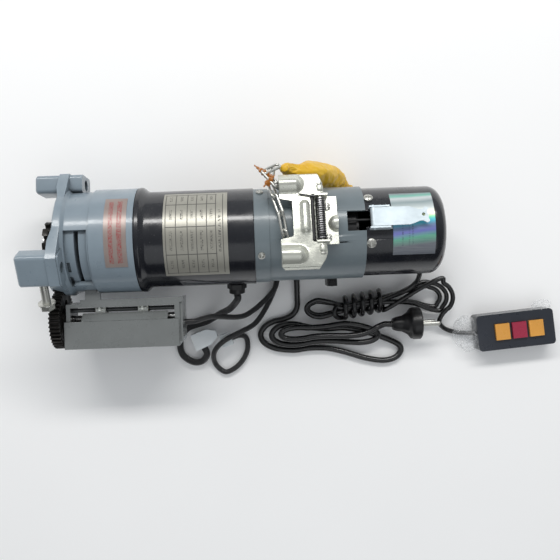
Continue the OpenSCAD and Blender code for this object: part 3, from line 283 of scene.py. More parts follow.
def sheath():
    """Smooth rubber cable sheath with scuffs along its length."""
    g = Graph("cable_sheath")
    scuff = g.ramp(g.noise(1, 4, 0.6, g.stretch(0.25, 0.03, 1, g.uv())), (0.5, 0.0), (0.72, 1.0))
    base = g.mix(g.math("MULTIPLY", scuff, 0.2), (0.0035, 0.0035, 0.004), (0.03, 0.03, 0.032))
    g.set(Base_Color=base, Coat_Weight=0.5, Coat_Roughness=0.12,
          Roughness=g.ramp(scuff, (0.0, 0.24), (1.0, 0.44)))
    g.bump((g.noise(300, 3, 0.6), 0.08, 0.2), (scuff, 0.04, 0.1))
    return g.material


def braid():
    """Woven sleeve: two families of strands wound in opposite ways, with painted shade in the gaps
    between them and painted highlights on their crests.
    """
    g = Graph("braided_sleeve")
    colour = (0.006, 0.006, 0.007)
    x, y, _ = g.axes(g.uv())
    strands = 9
    pitch = 2.4
    turn = g.math("MULTIPLY", x, 2 * math.pi * strands)
    climb = g.math("MULTIPLY", y, 2 * math.pi / pitch)
    one = g.math("SINE", g.math("ADD", turn, climb))
    two = g.math("SINE", g.math("SUBTRACT", turn, climb))
    height = g.math("MAXIMUM", one, two)
    # Painted shade and highlight: the colour follows the strand height, darker in the gaps between
    # strands and lighter on their crests.
    weave = g.ramp(height, (0.0, 0.0), (0.9, 1.0))
    base = g.mix(weave, tint(colour, 0.35), tint(colour, 2.2))
    g.set(Base_Color=base, Roughness=0.36, Sheen_Weight=0.05, Coat_Weight=0.3)
    g.bump((height, 0.65, 0.35), (g.noise(900, 2, 0.5), 0.1, 0.05))
    return g.material


def clear_film():
    """Crinkled clear wrap: nearly invisible flats, with painted highlights along the creases."""
    g = Graph("clear_film")
    folds = g.noise(1, 5, 0.7, g.stretch(240, 330, 240))
    crease = g.ramp(g.math("ABSOLUTE", g.math("SUBTRACT", folds, 0.5)), (0.0, 1.0), (0.045, 0.0))
    patch = g.ramp(g.noise(70, 3, 0.6), (0.42, 0.25), (0.62, 1.0))
    # Painted highlights: where creases meet the patch noise the film turns pale and more opaque,
    # standing for light glinting off the crinkles.
    painted_glints = g.math("MULTIPLY", crease, patch)
    g.set(Base_Color=(0.86, 0.88, 0.9), Roughness=0.14, Coat_Weight=0.6, Coat_Roughness=0.05,
          Alpha=g.math("ADD", 0.10, g.math("MULTIPLY", painted_glints, 0.55)))
    g.bump((folds, 0.8, 0.8))
    return g.material


def bag_cloth():
    """Coated yellow fabric: light shines through thin parts and creases darken."""
    g = Graph("bag_cloth")
    weave = g.noise(1, 2, 0.5, g.stretch(900, 900, 900))
    patch = g.ramp(g.noise(28, 4, 0.6), (0.35, 0.0), (0.68, 1.0))
    base = g.mix(patch, (0.66, 0.37, 0.004), (0.80, 0.50, 0.012))
    soil = g.ramp(g.noise(120, 5, 0.7), (0.6, 0.0), (0.78, 1.0))
    base = g.mix(g.math("MULTIPLY", soil, 0.22), base, (0.30, 0.17, 0.01))
    g.set(Base_Color=base, Roughness=g.ramp(patch, (0.0, 0.5), (1.0, 0.38)), Sheen_Weight=0.15,
          Subsurface_Weight=0.12, Subsurface_Radius=(1.0, 0.6, 0.1), Subsurface_Scale=3 * MM)
    g.bump((g.noise(70, 5, 0.6), 0.35, 1.2), (weave, 0.12, 0.1))
    return g.material


def label_place(g, x0, x1, start, end):
    """Coordinates 0 to 1 along the axis and around it, for a label on a round shell."""
    x, y, z = g.axes()
    along = g.math("DIVIDE", g.math("SUBTRACT", x, x0 * MM), (x1 - x0) * MM)
    angle = g.math("ARCTAN2", y, z)
    span = math.radians(end - start)
    turn = g.math("DIVIDE", g.math("SUBTRACT", math.radians(end), angle), span)
    return along, turn


def between(g, value, start, end):
    """One where value lies between start and end."""
    return g.math("MULTIPLY", g.math("GREATER_THAN", value, start), g.math("LESS_THAN", value, end))


def any_of(g, masks):
    """One where any of the masks is one."""
    total = masks[0]
    for mask in masks[1:]:
        total = g.math("MAXIMUM", total, mask)
    return total


def lettering(g, along, turn, columns, spans, size, seed):
    """Rows of plain dashes that stand for text without forming any letter."""
    dash = g.noise(1, 1, 0.4, g.label_grain(along, turn, size, seed))
    marks = g.math("GREATER_THAN", dash, 0.52)
    rows = any_of(g, [between(g, along, a, b) for a, b in columns])
    runs = any_of(g, [between(g, turn, a, b) for a, b in spans])
    return g.math("MULTIPLY", marks, g.math("MULTIPLY", rows, runs))


def nameplate_foil():
    """Champagne foil with a blank ruled table and dashes in place of entries."""
    g = Graph("nameplate_foil")
    along, turn = label_place(g, 133.5, 194, -49, 63)
    columns = [0.04, 0.2, 0.38, 0.52, 0.68, 0.82]
    rows = [0.04, 0.2, 0.46, 0.74, 0.96]
    half = 0.007
    lines = [between(g, along, c - half, c + half) for c in (*columns, 0.93)]
    inside = between(g, along, 0.03, 0.83)
    lines += [g.math("MULTIPLY", inside, between(g, turn, r - half * 0.7, r + half * 0.7))
              for r in rows]
    frame_mask = g.math("MULTIPLY", between(g, turn, 0.03, 0.97), any_of(g, lines))
    centres = [(a + b) / 2 for a, b in zip(columns, columns[1:])]
    entry = lettering(g, along, turn, [(c - 0.022, c + 0.022) for c in centres],
                      [(0.07, 0.15), (0.27, 0.38), (0.5, 0.7), (0.8, 0.9)], (30, 150), 3)
    title = lettering(g, along, turn, [(0.855, 0.9)], [(0.27, 0.72)], (20, 110), 8)
    ink = g.math("MAXIMUM", frame_mask, g.math("MAXIMUM", entry, title))
    brushed = g.noise(1, 3, 0.6, g.stretch(4000, 60, 60))
    foil = g.mix(brushed, (0.31, 0.30, 0.26), (0.42, 0.41, 0.36))
    g.set(Base_Color=g.mix(g.math("MULTIPLY", ink, 0.8), foil, (0.05, 0.05, 0.05)),
          Metallic=g.math("SUBTRACT", 0.55, g.math("MULTIPLY", ink, 0.4)),
          Roughness=g.math("ADD", 0.36, g.math("MULTIPLY", ink, 0.2)))
    g.bump((g.noise(90, 3, 0.5), 0.12, 0.4), (brushed, 0.04, 0.05))
    return g.material


def warning_foil():
    """Silver foil with two columns of red dashes."""
    g = Graph("warning_foil")
    along, turn = label_place(g, 79, 100, -30, 49)
    marks = lettering(g, along, turn, [(0.2, 0.4), (0.58, 0.8)], [(0.06, 0.94)], (14, 120), 5)
    foil = g.mix(g.noise(40, 3, 0.5), (0.24, 0.18, 0.165), (0.40, 0.34, 0.31))
    base = g.mix(g.math("MULTIPLY", marks, 0.95), foil, (0.30, 0.008, 0.012))
    g.set(Base_Color=base, Metallic=g.math("SUBTRACT", 0.35, g.math("MULTIPLY", marks, 0.3)),
          Roughness=0.34)
    g.bump((g.noise(110, 3, 0.5), 0.2, 0.4))
    return g.material


def rainbow_foil():
    """Diffraction foil: bands of colour that run along the axis, with faint ruled lines."""
    g = Graph("rainbow_foil")
    along, turn = label_place(g, 349, 389, -33, 53)
    facing = g.node("ShaderNodeLayerWeight")
    facing.inputs[0].default_value = 0.5
    drift = g.math("MULTIPLY", g.noise(18, 3, 0.5, g.stretch(0.6, 1, 1)), 0.16)
    slant = g.math("MULTIPLY", along, 0.05)
    band = g.math("ADD", g.math("ADD", turn, drift), slant)
    colour = g.ramp(band, (0.10, (0.16, 0.19, 0.22)), (0.17, (0.10, 0.42, 0.33)),
                    (0.22, (0.62, 0.66, 0.68)), (0.30, (0.26, 0.34, 0.36)),
                    (0.42, (0.60, 0.66, 0.66)), (0.52, (0.62, 0.60, 0.30)),
                    (0.57, (0.16, 0.66, 0.34)), (0.62, (0.02, 0.58, 0.74)),
                    (0.69, (0.13, 0.22, 0.42)), (0.76, (0.13, 0.14, 0.52)),
                    (0.84, (0.05, 0.34, 0.22)), (0.95, (0.07, 0.08, 0.11)))
    marks = lettering(g, along, turn, [(0.2, 0.24), (0.36, 0.4), (0.44, 0.48)],
                      [(0.56, 0.86)], (10, 90), 4)
    wave = g.noise(1, 3, 0.6, g.stretch(60, 900, 900))
    colour = g.mix(g.math("MULTIPLY", wave, 0.2), colour, (0.75, 0.78, 0.74))
    g.set(Base_Color=g.mix(g.math("MULTIPLY", marks, 0.5), colour, (0.05, 0.06, 0.09)),
          Metallic=0.25, Roughness=0.3, Coat_Weight=0.5, Coat_Roughness=0.08)
    g.bump((g.noise(70, 3, 0.5), 0.18, 0.5))
    return g.material


def wound_copper():
    """Varnished wire: ridges that run around the winding."""
    g = Graph("wound_copper")
    x, y, z = g.axes()
    radius = g.math("SQRT", g.math("ADD", g.math("MULTIPLY", y, y), g.math("MULTIPLY", z, z)))
    ridge = g.math("SINE", g.math("MULTIPLY", g.math("ADD", radius, x), 2 * math.pi / (0.9 * MM)))
    g.set(Base_Color=g.mix(g.noise(90, 4, 0.6), (0.30, 0.10, 0.03), (0.55, 0.22, 0.07)),
          Metallic=0.9, Roughness=0.32, Coat_Weight=0.6, Coat_Roughness=0.15)
    g.bump((ridge, 0.5, 0.3))
    return g.material


def laminations():
    """Stacked steel sheets: fine lines across the axis."""
    g = Graph("laminations")
    x, _, _ = g.axes()
    line = g.math("SINE", g.math("MULTIPLY", x, 2 * math.pi / (1.0 * MM)))
    g.set(Base_Color=g.mix(g.noise(80, 4, 0.6), (0.16, 0.16, 0.165), (0.30, 0.30, 0.31)),
          Metallic=0.95, Roughness=0.42)
    g.bump((line, 0.35, 0.15), (g.noise(500, 3, 0.6), 0.1, 0.05))
    return g.material


MATERIALS = {
    # grey_enamel and box_enamel take hollow=True, which paints shade into their recesses.
    "grey_paint": enamel("grey_enamel", (0.215, 0.268, 0.312), rough=0.3, coat=0.45, hollow=True),
    "drum_paint": enamel("drum_enamel", (0.135, 0.168, 0.185), rough=0.38),
    "black_paint": enamel("black_enamel", (0.005, 0.006, 0.010), rough=0.2, coat=0.4, peel=0.03),
    "box_paint": enamel("box_enamel", (0.165, 0.175, 0.174), rough=0.26, coat=0.5, hollow=True),
    "bright_zinc": plated("bright_zinc", (0.66, 0.67, 0.60), rough=0.25, metallic=0.72, pits=0.02),
    "lever_zinc": plated("lever_zinc", (0.52, 0.59, 0.63), rough=0.42, metallic=0.45, stain=0.05),
    "bolt_zinc": plated("bolt_zinc", (0.58, 0.58, 0.54), rough=0.24, metallic=0.85),
    "dark_steel": plated("dark_steel", (0.035, 0.035, 0.036), rough=0.4, metallic=0.8),
    "cut_steel": plated("cut_steel", (0.55, 0.55, 0.54), rough=0.26, stain=0.2),
    "blackened_steel": black_iron(),
    "bronze": plated("bronze", (0.60, 0.38, 0.14), rough=0.38, stain=0.3),
    "spring_steel": plated("spring_steel", (0.16, 0.16, 0.165), rough=0.26, stain=0.25),
    "chain_zinc": plated("chain_zinc", (0.62, 0.62, 0.58), rough=0.22, metallic=0.85, stain=0.35),
    "lamination_steel": laminations(),
    "copper_winding": wound_copper(),
    "black_plastic": moulded("black_plastic", (0.006, 0.006, 0.007), rough=0.34),
    "station_plastic": moulded("station_plastic", (0.020, 0.024, 0.034), rough=0.3, coat=0.35),
    "white_nylon": moulded("white_nylon", (0.72, 0.76, 0.78), rough=0.4, glow=0.2),
    "nut_nylon": moulded("nut_nylon", (0.66, 0.68, 0.64), rough=0.4, glow=0.1),
    "amber_button": moulded("amber_button", (0.72, 0.34, 0.06), rough=0.25, glow=0.1, coat=0.5),
    "red_button": moulded("red_button", (0.34, 0.02, 0.055), rough=0.25, glow=0.05, coat=0.5),
    "cable_rubber": sheath(),
    "sleeve": braid(),
    "bag_fabric": bag_cloth(),
    "clear_film": clear_film(),
    "tie_film": moulded("tie_film", (0.36, 0.12, 0.008), rough=0.3, coat=0.5),
    "nameplate": nameplate_foil(),
    "warning": warning_foil(),
    "rainbow": rainbow_foil(),
}


# ---------------------------------------------------------------- mesh tools

def new_object(name, verts, faces, material, body=HOUSING, place=None):
    """Adds a smooth mesh given in millimetres that rides on a body of the frame."""
    mesh = bpy.data.meshes.new(name)
    place = place or Matrix.Identity(4)
    mesh.from_pydata([(place @ Vector(v)) * MM for v in verts], [], faces)
    mesh.validate()
    mesh.polygons.foreach_set("use_smooth", [True] * len(mesh.polygons))
    mesh.materials.append(MATERIALS[material])
    made = bpy.data.objects.new(name, mesh)
    bpy.context.scene.collection.objects.link(made)
    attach(made, body)
    return made


def weld(made):
    """Joins the vertices that the loader left split along sharp edges."""
    join = made.modifiers.new("weld", "WELD")
    join.merge_threshold = WELD_DISTANCE * MM


def round_edges(made, width):
    """Rounds sharp edges by a width in millimetres, keeping the flats flat."""
    weld(made)
    bevel = made.modifiers.new("round", "BEVEL")
    bevel.width = width * MM
    bevel.segments = 2
    bevel.limit_method = "ANGLE"
    bevel.angle_limit = math.radians(35)
    bevel.harden_normals = True
    bevel.miter_outer = "MITER_ARC"


def crisp(made):
    """Smooth shading that breaks at sharp edges, for dense small features."""
    weld(made)
    split = made.modifiers.new("split", "EDGE_SPLIT")
    split.split_angle = math.radians(30)


def paint_node(node, material, rounding=0.0):
    """Gives a CAD node its material and its edge treatment."""
    made = NODES[node]
    mesh = made.data
    if "custom_normal" in mesh.attributes:
        mesh.attributes.remove(mesh.attributes["custom_normal"])
    mesh.materials.clear()
    mesh.materials.append(MATERIALS[material])
    mesh.polygons.foreach_set("use_smooth", [True] * len(mesh.polygons))
    mesh.polygons.foreach_set("material_index", [0] * len(mesh.polygons))
    if rounding:
        round_edges(made, rounding)
    else:
        crisp(made)
    return made


def spline(points, steps):
    """Smooth path through points, with a number of steps between each pair."""
    points = [Vector(p) for p in points]
    padded = [points[0] * 2 - points[1], *points, points[-1] * 2 - points[-2]]
    path = []
    for a, b, c, d in zip(padded, padded[1:], padded[2:], padded[3:]):
        for i in range(steps):
            t = i / steps
            path.append(0.5 * (2 * b + (c - a) * t + (2 * a - 5 * b + 4 * c - d) * t * t
                               + (3 * b - a - 3 * c + d) * t ** 3))
    path.append(points[-1])
    return path


def sweep(name, path, radius, material, body=HOUSING, sides=16, profile=None):
    """Closed tube along a path. radius is a number or a function of (share, length) along the
    path, and profile scales the radius around the tube as a function of the angle."""
    radius_at = radius if callable(radius) else lambda share, length: radius
    profile = profile or (lambda angle: 1.0)
    count = len(path)
    lengths = [0.0]
    for a, b in zip(path, path[1:]):
        lengths.append(lengths[-1] + (b - a).length)
    tangents = [(path[min(i + 1, count - 1)] - path[max(i - 1, 0)]).normalized()
                for i in range(count)]
    side = tangents[0].cross(Vector((0, 0, 1)))
    if side.length < 0.1:
        side = tangents[0].cross(Vector((1, 0, 0)))
    side.normalize()
    verts = []
    for point, tangent, length in zip(path, tangents, lengths):
        side = (side - tangent * side.dot(tangent)).normalized()
        other = tangent.cross(side)
        size = radius_at(length / lengths[-1], length)
        for k in range(sides):
            angle = 2 * math.pi * k / sides
            reach = size * profile(angle)
            verts.append(point + (side * math.cos(angle) + other * math.sin(angle)) * reach)
    faces = [(i * sides + k, i * sides + (k + 1) % sides,
              (i + 1) * sides + (k + 1) % sides, (i + 1) * sides + k)
             for i in range(count - 1) for k in range(sides)]
    tube_faces = len(faces)
    faces.append(tuple(range(sides))[::-1])
    faces.append(tuple((count - 1) * sides + k for k in range(sides)))
    made = new_object(name, verts, faces, material, body)
    layer = made.data.uv_layers.new(name="run")
    for face in range(tube_faces):
        i, k = divmod(face, sides)
        corners = ((k, i), (k + 1, i), (k + 1, i + 1), (k, i + 1))
        for loop, (turn, ring) in zip(made.data.polygons[face].loop_indices, corners):
            layer.data[loop].uv = (turn / sides, lengths[ring])
    return made


def centre_lines(node):
    """Centre line and radius of each swept tube in a CAD node, in millimetres.
    The lowest index is taken each time, so every run gives the same lines."""
    shell = welded_shell(node)
    left = set(shell.verts)
    found = []
    while left:
        start = min(left, key=lambda vert: vert.index)
        left -= flood(start)
        found.append(tube_rings(start))
    shell.free()
    return found


def welded_shell(node):
    """Copy of a CAD node's mesh with its split vertices joined."""
    shell = bmesh.new()
    shell.from_mesh(NODES[node].data)
    bmesh.ops.remove_doubles(shell, verts=shell.verts, dist=WELD_DISTANCE * MM)
    shell.verts.index_update()
    return shell


def flood(start):
    """Every vertex joined to the start by edges."""
    seen = {start}
    front = [start]
    while front:
        vert = front.pop()
        for edge in vert.link_edges:
            other = edge.other_vert(vert)
            if other not in seen:
                seen.add(other)
                front.append(other)
    return seen


def farthest(start):
    """Vertices in the order they are reached from the start, so the last is the farthest."""
    order = [start]
    seen = {start}
    for vert in order:
        for edge in vert.link_edges:
            other = edge.other_vert(vert)
            if other not in seen:
                seen.add(other)
                order.append(other)
    return order


def tube_rings(start):
    """Walks a tube ring by ring, from the end cap that is nearer to the start vertex."""
    end = farthest(farthest(start)[-1])[-1]
    near = farthest(end)[:60]
    inward = (sum((v.co for v in near), Vector()) / len(near) - end.co).normalized()
    cap = max(end.link_faces, key=lambda f: abs(f.normal.dot(inward)))
    ring = set(cap.verts)
    front = [cap]
    seen = {cap}
    for face in front:
        for edge in face.edges:
            for other in edge.link_faces:
                if other not in seen and other.normal.dot(cap.normal) > 0.999:
                    seen.add(other)
                    front.append(other)
                    ring |= set(other.verts)
    done = set()
    path = []
    radius = 0.0
    while ring:
        in_order = sorted(ring, key=lambda vert: vert.index)
        centre = sum((v.co for v in in_order), Vector()) / len(ring)
        radius = max(radius, max((v.co - centre).length for v in ring)) if not path else radius
        path.append(centre / MM)
        done |= ring
        ring = {e.other_vert(v) for v in ring for e in v.link_edges} - done
    return path, radius / MM


# ---------------------------------------------------------------- hard parts

def finish_castings():
    """Painted castings and shells."""
    paint_node("mount_casting", "grey_paint", 0.9)
    paint_node("gearbox_cap", "grey_paint", 0.7)
    paint_node("band_flange", "drum_paint", 0.5)
    paint_node("drum_housing", "drum_paint", 0.5)
    paint_node("motor_barrel", "black_paint", 0.8)
    paint_node("end_cover", "black_paint", 0.5)


def finish_output_end():
    """Clamp bolts, output sprocket and the gears."""
    paint_node("clamp_bolts", "bolt_zinc", 0.4)
    paint_node("output_shaft", "cut_steel", 0.5)
    paint_node("output_sprocket", "blackened_steel", 0.25)
    paint_node("idler_stud", "bolt_zinc", 0.4)
    for node in ("limit_pinion", "output_gear", "layshaft_a", "layshaft_b", "cluster_gear"):
        paint_node(node, "cut_steel")
    for node in ("idler_gear", "limit_gear"):
        paint_node(node, "blackened_steel")
    paint_node("output_bearing", "cut_steel")
    paint_node("layshaft_bushes", "bronze")


def finish_motor():
    """Stator, rotor, bearings, capacitor and housing screws."""
    paint_node("stator_core", "lamination_steel")
    paint_node("rotor_core", "lamination_steel")
    paint_node("stator_windings", "copper_winding")
    paint_node("rotor_shaft", "cut_steel")
    paint_node("rotor_bearings", "cut_steel")
    paint_node("capacitor", "white_nylon", 1.0)
    paint_node("housing_screws", "bolt_zinc")


def finish_brake():
    """Brake, its lever and the hand-chain wheel."""
    for node, material in (("brake_disc", "blackened_steel"), ("brake_armature", "dark_steel"),
                           ("brake_magnet", "dark_steel")):
        paint_node(node, material, 0.3)
    paint_node("brake_springs", "spring_steel")
    paint_node("chain_wheel", "blackened_steel", 0.3)
    paint_node("lever_bracket", "lever_zinc", 0.25)
    paint_node("brake_lever", "lever_zinc", 0.3)


def finish_limit_switch():
    """Limit box, its screw, nuts and switches."""
    paint_node("limit_box", "box_paint", 0.4)
    paint_node("limit_cover", "box_paint", 0.4)
    paint_node("limit_screw", "cut_steel")
    for node in ("limit_nut_up", "limit_nut_down"):
        paint_node(node, "nut_nylon", 0.4)
    paint_node("limit_switches", "black_plastic", 0.4)


def finish_electrics():
    """Junction box, gland, connectors, plug and push-button station."""
    paint_node("junction_box", "black_plastic", 1.0)
    paint_node("cable_gland", "black_plastic", 0.5)
    paint_node("connectors", "white_nylon", 0.8)
    paint_node("plug_body", "black_plastic", 0.8)
    paint_node("plug_pins", "bolt_zinc")
    paint_node("station_case", "station_plastic", 1.2)
    paint_node("station_switches", "black_plastic", 0.4)
    paint_node("button_up", "amber_button", 0.9)
    paint_node("button_stop", "red_button", 0.9)
    paint_node("button_down", "amber_button", 0.9)


def finish_guide():
    """Chain guide, its hinge and the hand chain."""
    paint_node("chain_guide", "bright_zinc", 0.5)
    paint_node("guide_bracket", "bright_zinc", 0.3)
    paint_node("guide_pin", "bolt_zinc", 0.3)
    paint_node("guide_spring", "spring_steel")
    paint_node("hand_chain", "chain_zinc")


def cover_labels():
    """One material for each of the three labels, told apart by their place along the axis."""
    made = paint_node("labels", "nameplate")
    made.data.materials.append(MATERIALS["warning"])
    made.data.materials.append(MATERIALS["rainbow"])
    for face in made.data.polygons:
        x = face.center.x / MM
        face.material_index = 1 if x < 120 else (2 if x > 300 else 0)


# ---------------------------------------------------------------- cables

def cable_pieces():
    """Round cables and braided sleeves along the CAD centre lines."""
    for node, material in (("power_cord", "cable_rubber"), ("station_cable", "cable_rubber"),
                           ("limit_cable", "sleeve"), ("motor_cable", "sleeve")):
        for index, (path, radius) in enumerate(centre_lines(node)):
            line = spline(path[::2] + ([path[-1]] if len(path) % 2 == 0 else []), 6)
            made = sweep(f"{node}_skin_{index}", line, radius, material)
            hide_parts(node)


# ---------------------------------------------------------------- pressed guide

HOOD_Z = 55
HINGE_X = 281
HINGE_Z = 53.5
HOOD_LEFT = 243.0
HOOD_ENDS = (-48.5, 44.5)
HOOD_RIGHT = ((-48.5, 277.5), (-46, 279.5), (-40, 283.5), (-34, 285.5), (-25.5, 285), (-23.8, 272.5),
              (0, 272), (22, 272), (23.5, 284.6), (35, 283.4), (41, 281), (44.5, 278))
HOOD_NOTCH = (-19.5, 17.5, 255.0)
DOMES = ((33.0, 266.5), (-35.5, 267.5))
SHEET = 1.0


def follow(table, value):
    """Straight interpolation in a table of (position, value)."""
    for (p0, v0), (p1, v1) in zip(table, table[1:]):
        if value <= p1:
            return v0 + (v1 - v0) * max(0.0, value - p0) / (p1 - p0)
    return table[-1][1]


def ease(value, start, end):
    """Smooth step from zero at start to one at end."""
    t = min(max((value - start) / (end - start), 0.0), 1.0)
    return t * t * (3 - 2 * t)


def bulge(x, y, ax, ay, bx, by, radius, height):
    """Pressed ridge along the line from a to b, with a soft foot."""
    share = ((x - ax) * (bx - ax) + (y - ay) * (by - ay)) / ((bx - ax) ** 2 + (by - ay) ** 2)
    share = min(max(share, 0.0), 1.0)
    away = math.hypot(x - ax - share * (bx - ax), y - ay - share * (by - ay)) / radius
    rise = height * (1 - away * away)
    return 0.5 * (rise + math.sqrt(rise * rise + 0.5))


def hood_height(x, y):
    """Height of the pressed sheet over the hood's own plane."""
    height = 0.0
    for centre, tip in DOMES:
        height += bulge(x, y, 225, centre, tip - 9, centre, 9.0, 7.2)
    height += bulge(x, y, 266.3, -11.5, 266.3, 11.5, 4.6, 3.4)
    height -= 5.0 * ease(abs(y + 2), 43.6, 46.8) ** 2
    height -= 1.4 * ease(x, 280, 287)
    height -= 0.0009 * (y + 2) ** 2
    height += 0.35 * noise.noise(Vector((x * 0.06, y * 0.06, 3.0)))
    return height


def hood_pieces():
    """Pressed hood with two domes, a rib, turned-down ends, knuckles, a rolled edge darkened as
    painted shade and the spring's leg.
    """
    rows = 150
    columns = 44
    verts = []
    for r in range(rows + 1):
        y = HOOD_ENDS[0] + (HOOD_ENDS[1] - HOOD_ENDS[0]) * r / rows
        start, end, depth = HOOD_NOTCH
        inside = ease(y, start - 1.6, start + 1.6) * (1 - ease(y, end - 1.6, end + 1.6))
        left = HOOD_LEFT + (depth - HOOD_LEFT) * inside
        left += 3.0 * (ease(abs(y + 2), 43.0, 46.5) ** 3)
        right = follow(HOOD_RIGHT, y)
        for c in range(columns + 1):
            x = left + (right - left) * c / columns
            verts.append((x, y, HOOD_Z + 0.9 + hood_height(x, y)))
    wide = columns + 1
    faces = [(r * wide + c, r * wide + c + 1, (r + 1) * wide + c + 1, (r + 1) * wide + c)
             for r in range(rows) for c in range(columns)]
    hood = new_object("hood_sheet", verts, faces, "bright_zinc", GUIDE_BODY, GUIDE)
    thick = hood.modifiers.new("sheet", "SOLIDIFY")
    thick.thickness = SHEET * MM
    thick.offset = -1
    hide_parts("chain_guide")
    for index, (start, end) in enumerate(((-33.2, -26.8), (25.2, 31.2))):
        knuckle = tube_between(f"hood_knuckle_{index}", (HINGE_X, start, HINGE_Z),
                               (HINGE_X, end, HINGE_Z), 3.5, "bright_zinc", GUIDE_BODY)
        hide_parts("chain_guide")
    # Painted shade: the rolled edge beside the spring gets dark steel to stand for the shadow under
    # the hinge, while the hood itself is bright zinc.
    shaded_roll = tube_between("hood_roll_painted_shade", (273.6, -23.5, HINGE_Z + 0.6),
                        (273.6, 21.8, HINGE_Z + 0.6), 1.9, "dark_steel", GUIDE_BODY)
    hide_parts("chain_guide")
    leg = [(261, 22.4, HOOD_Z + 2.2), (267, 21.2, HOOD_Z + 2.1), (273, 20.0, HOOD_Z + 2.2),
           (277, 19.4, HINGE_Z + 3.4)]
    wire = sweep("spring_leg", [GUIDE @ p for p in spline(leg, 6)], 0.75, "spring_steel",
                 GUIDE_BODY, sides=10)
    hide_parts("chain_guide")


def tube_between(name, start, end, radius, material, body):
    """Short round bar with softly rounded ends, placed in the guide's frame."""
    start, end = Vector(start), Vector(end)
    whole = (end - start).length
    path = [start + (end - start) * share for share in
            (0.0, 0.02, 0.06, 0.2, 0.4, 0.6, 0.8, 0.94, 0.98, 1.0)]

    def size(share, length):
        edge = min(length, whole - length)
        return radius * (0.82 + 0.18 * ease(edge, 0.0, 0.6))

    return sweep(name, [GUIDE @ p for p in path], size, material, body, sides=28)


# ---------------------------------------------------------------- soft bag

# The cloth is simulated ten times larger, where the solver's own limits don't matter.
BAG_SCALE = 10.0
CLOTH_FRAMES = 26


def bag_shape(path, radius_at, rings, sides, seed):
    """Rings of a loose tube along the bag, wider than its filling and gathered at the neck."""
    rng = random.Random(seed)
    line = resample(path, rings)
    side = Vector((0, 0, 1))
    verts = []
    for i, point in enumerate(line):
        tangent = (line[min(i + 1, rings - 1)] - line[max(i - 1, 0)]).normalized()
        side = (side - tangent * side.dot(tangent)).normalized()
        other = tangent.cross(side)
        share = i / (rings - 1)
        for k in range(sides):
            angle = 2 * math.pi * k / sides
            gather = 0.10 * math.sin(9 * angle + 1.3) * (1 - ease(share, 0.05, 0.4))
            loose = 0.05 * math.sin(3 * angle + 7 * share) + 0.03 * rng.uniform(-1, 1)
            reach = radius_at(share) * (1 + gather + loose)
            verts.append(point + (side * math.cos(angle) + other * math.sin(angle)) * reach)
    faces = [(i * sides + k, i * sides + (k + 1) % sides,
              (i + 1) * sides + (k + 1) % sides, (i + 1) * sides + k)
             for i in range(rings - 1) for k in range(sides)]
    faces.append(tuple(range(sides))[::-1])
    faces.append(tuple((rings - 1) * sides + k for k in range(sides)))
    return verts, faces


def resample(path, count):
    """Points at equal steps along a path."""
    lengths = [0.0]
    for a, b in zip(path, path[1:]):
        lengths.append(lengths[-1] + (b - a).length)
    out = []
    i = 0
    for n in range(count):
        want = lengths[-1] * n / (count - 1)
        while i < len(path) - 2 and lengths[i + 1] < want:
            i += 1
        share = (want - lengths[i]) / (lengths[i + 1] - lengths[i])
        out.append(path[i] + (path[i + 1] - path[i]) * share)
    return out


def bag_profile():
    """Centre line and radius along the CAD bag."""
    shell = welded_shell("chain_bag")
    corners = [v.co.copy() / MM for v in shell.verts]
    neck = min(shell.verts, key=lambda vert: vert.co.x)
    path, _ = tube_rings(neck)
    shell.free()
    reach = [sorted((c - p).length for c in corners)[:12] for p in path]
    sizes = [sum(r) / len(r) for r in reach]

    def radius_at(share):
        place = share * (len(sizes) - 1)
        i = min(int(place), len(sizes) - 2)
        return sizes[i] + (sizes[i + 1] - sizes[i]) * (place - i)

    return path, radius_at


def scaled_mesh(name, verts, faces):
    """Adds a mesh at the scale of the cloth simulation."""
    mesh = bpy.data.meshes.new(name)
    mesh.from_pydata([v * MM * BAG_SCALE for v in verts], [], faces)
    made = bpy.data.objects.new(name, mesh)
    bpy.context.scene.collection.objects.link(made)
    return made


def filled_core(path, radius_at):
    """Lumpy heap of chain inside the bag that the cloth settles on."""
    rings, sides = 60, 20
    verts, faces = bag_shape(path, lambda share: radius_at(share) * 0.74, rings, sides, 5)
    line = resample(path, rings)
    lumps = []
    for i, v in enumerate(verts):
        centre = line[i // sides]
        lumps.append(centre + (v - centre) * (1 + 0.26 * noise.noise(v * 0.16)))
    core = scaled_mesh("bag_core", lumps, faces)
    core.modifiers.new("collide", "COLLISION")
    core.collision.thickness_outer = 0.008
    return core


def bag_pieces():
    """Soft bag draped on its filling by a cloth simulation, tied at the neck."""
    path, radius_at = bag_profile()
    rings, sides = 96, 56
    verts, faces = bag_shape(path, lambda share: radius_at(share) * 1.02, rings, sides, 2)
    sheet = scaled_mesh("bag_sheet", verts, faces)
    settle(sheet, filled_core(path, radius_at), sides)
    settled = [v.co / (MM * BAG_SCALE) for v in sheet.data.vertices]
    shown = [tuple(f.vertices) for f in sheet.data.polygons]
    bpy.data.objects.remove(sheet, do_unlink=True)
    bag = new_object("bag_cloth_skin", settled, shown, "bag_fabric")
    sub = bag.modifiers.new("smooth", "SUBSURF")
    sub.render_levels = 1
    sub.levels = 1
    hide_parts("chain_bag")
    tie_pieces()


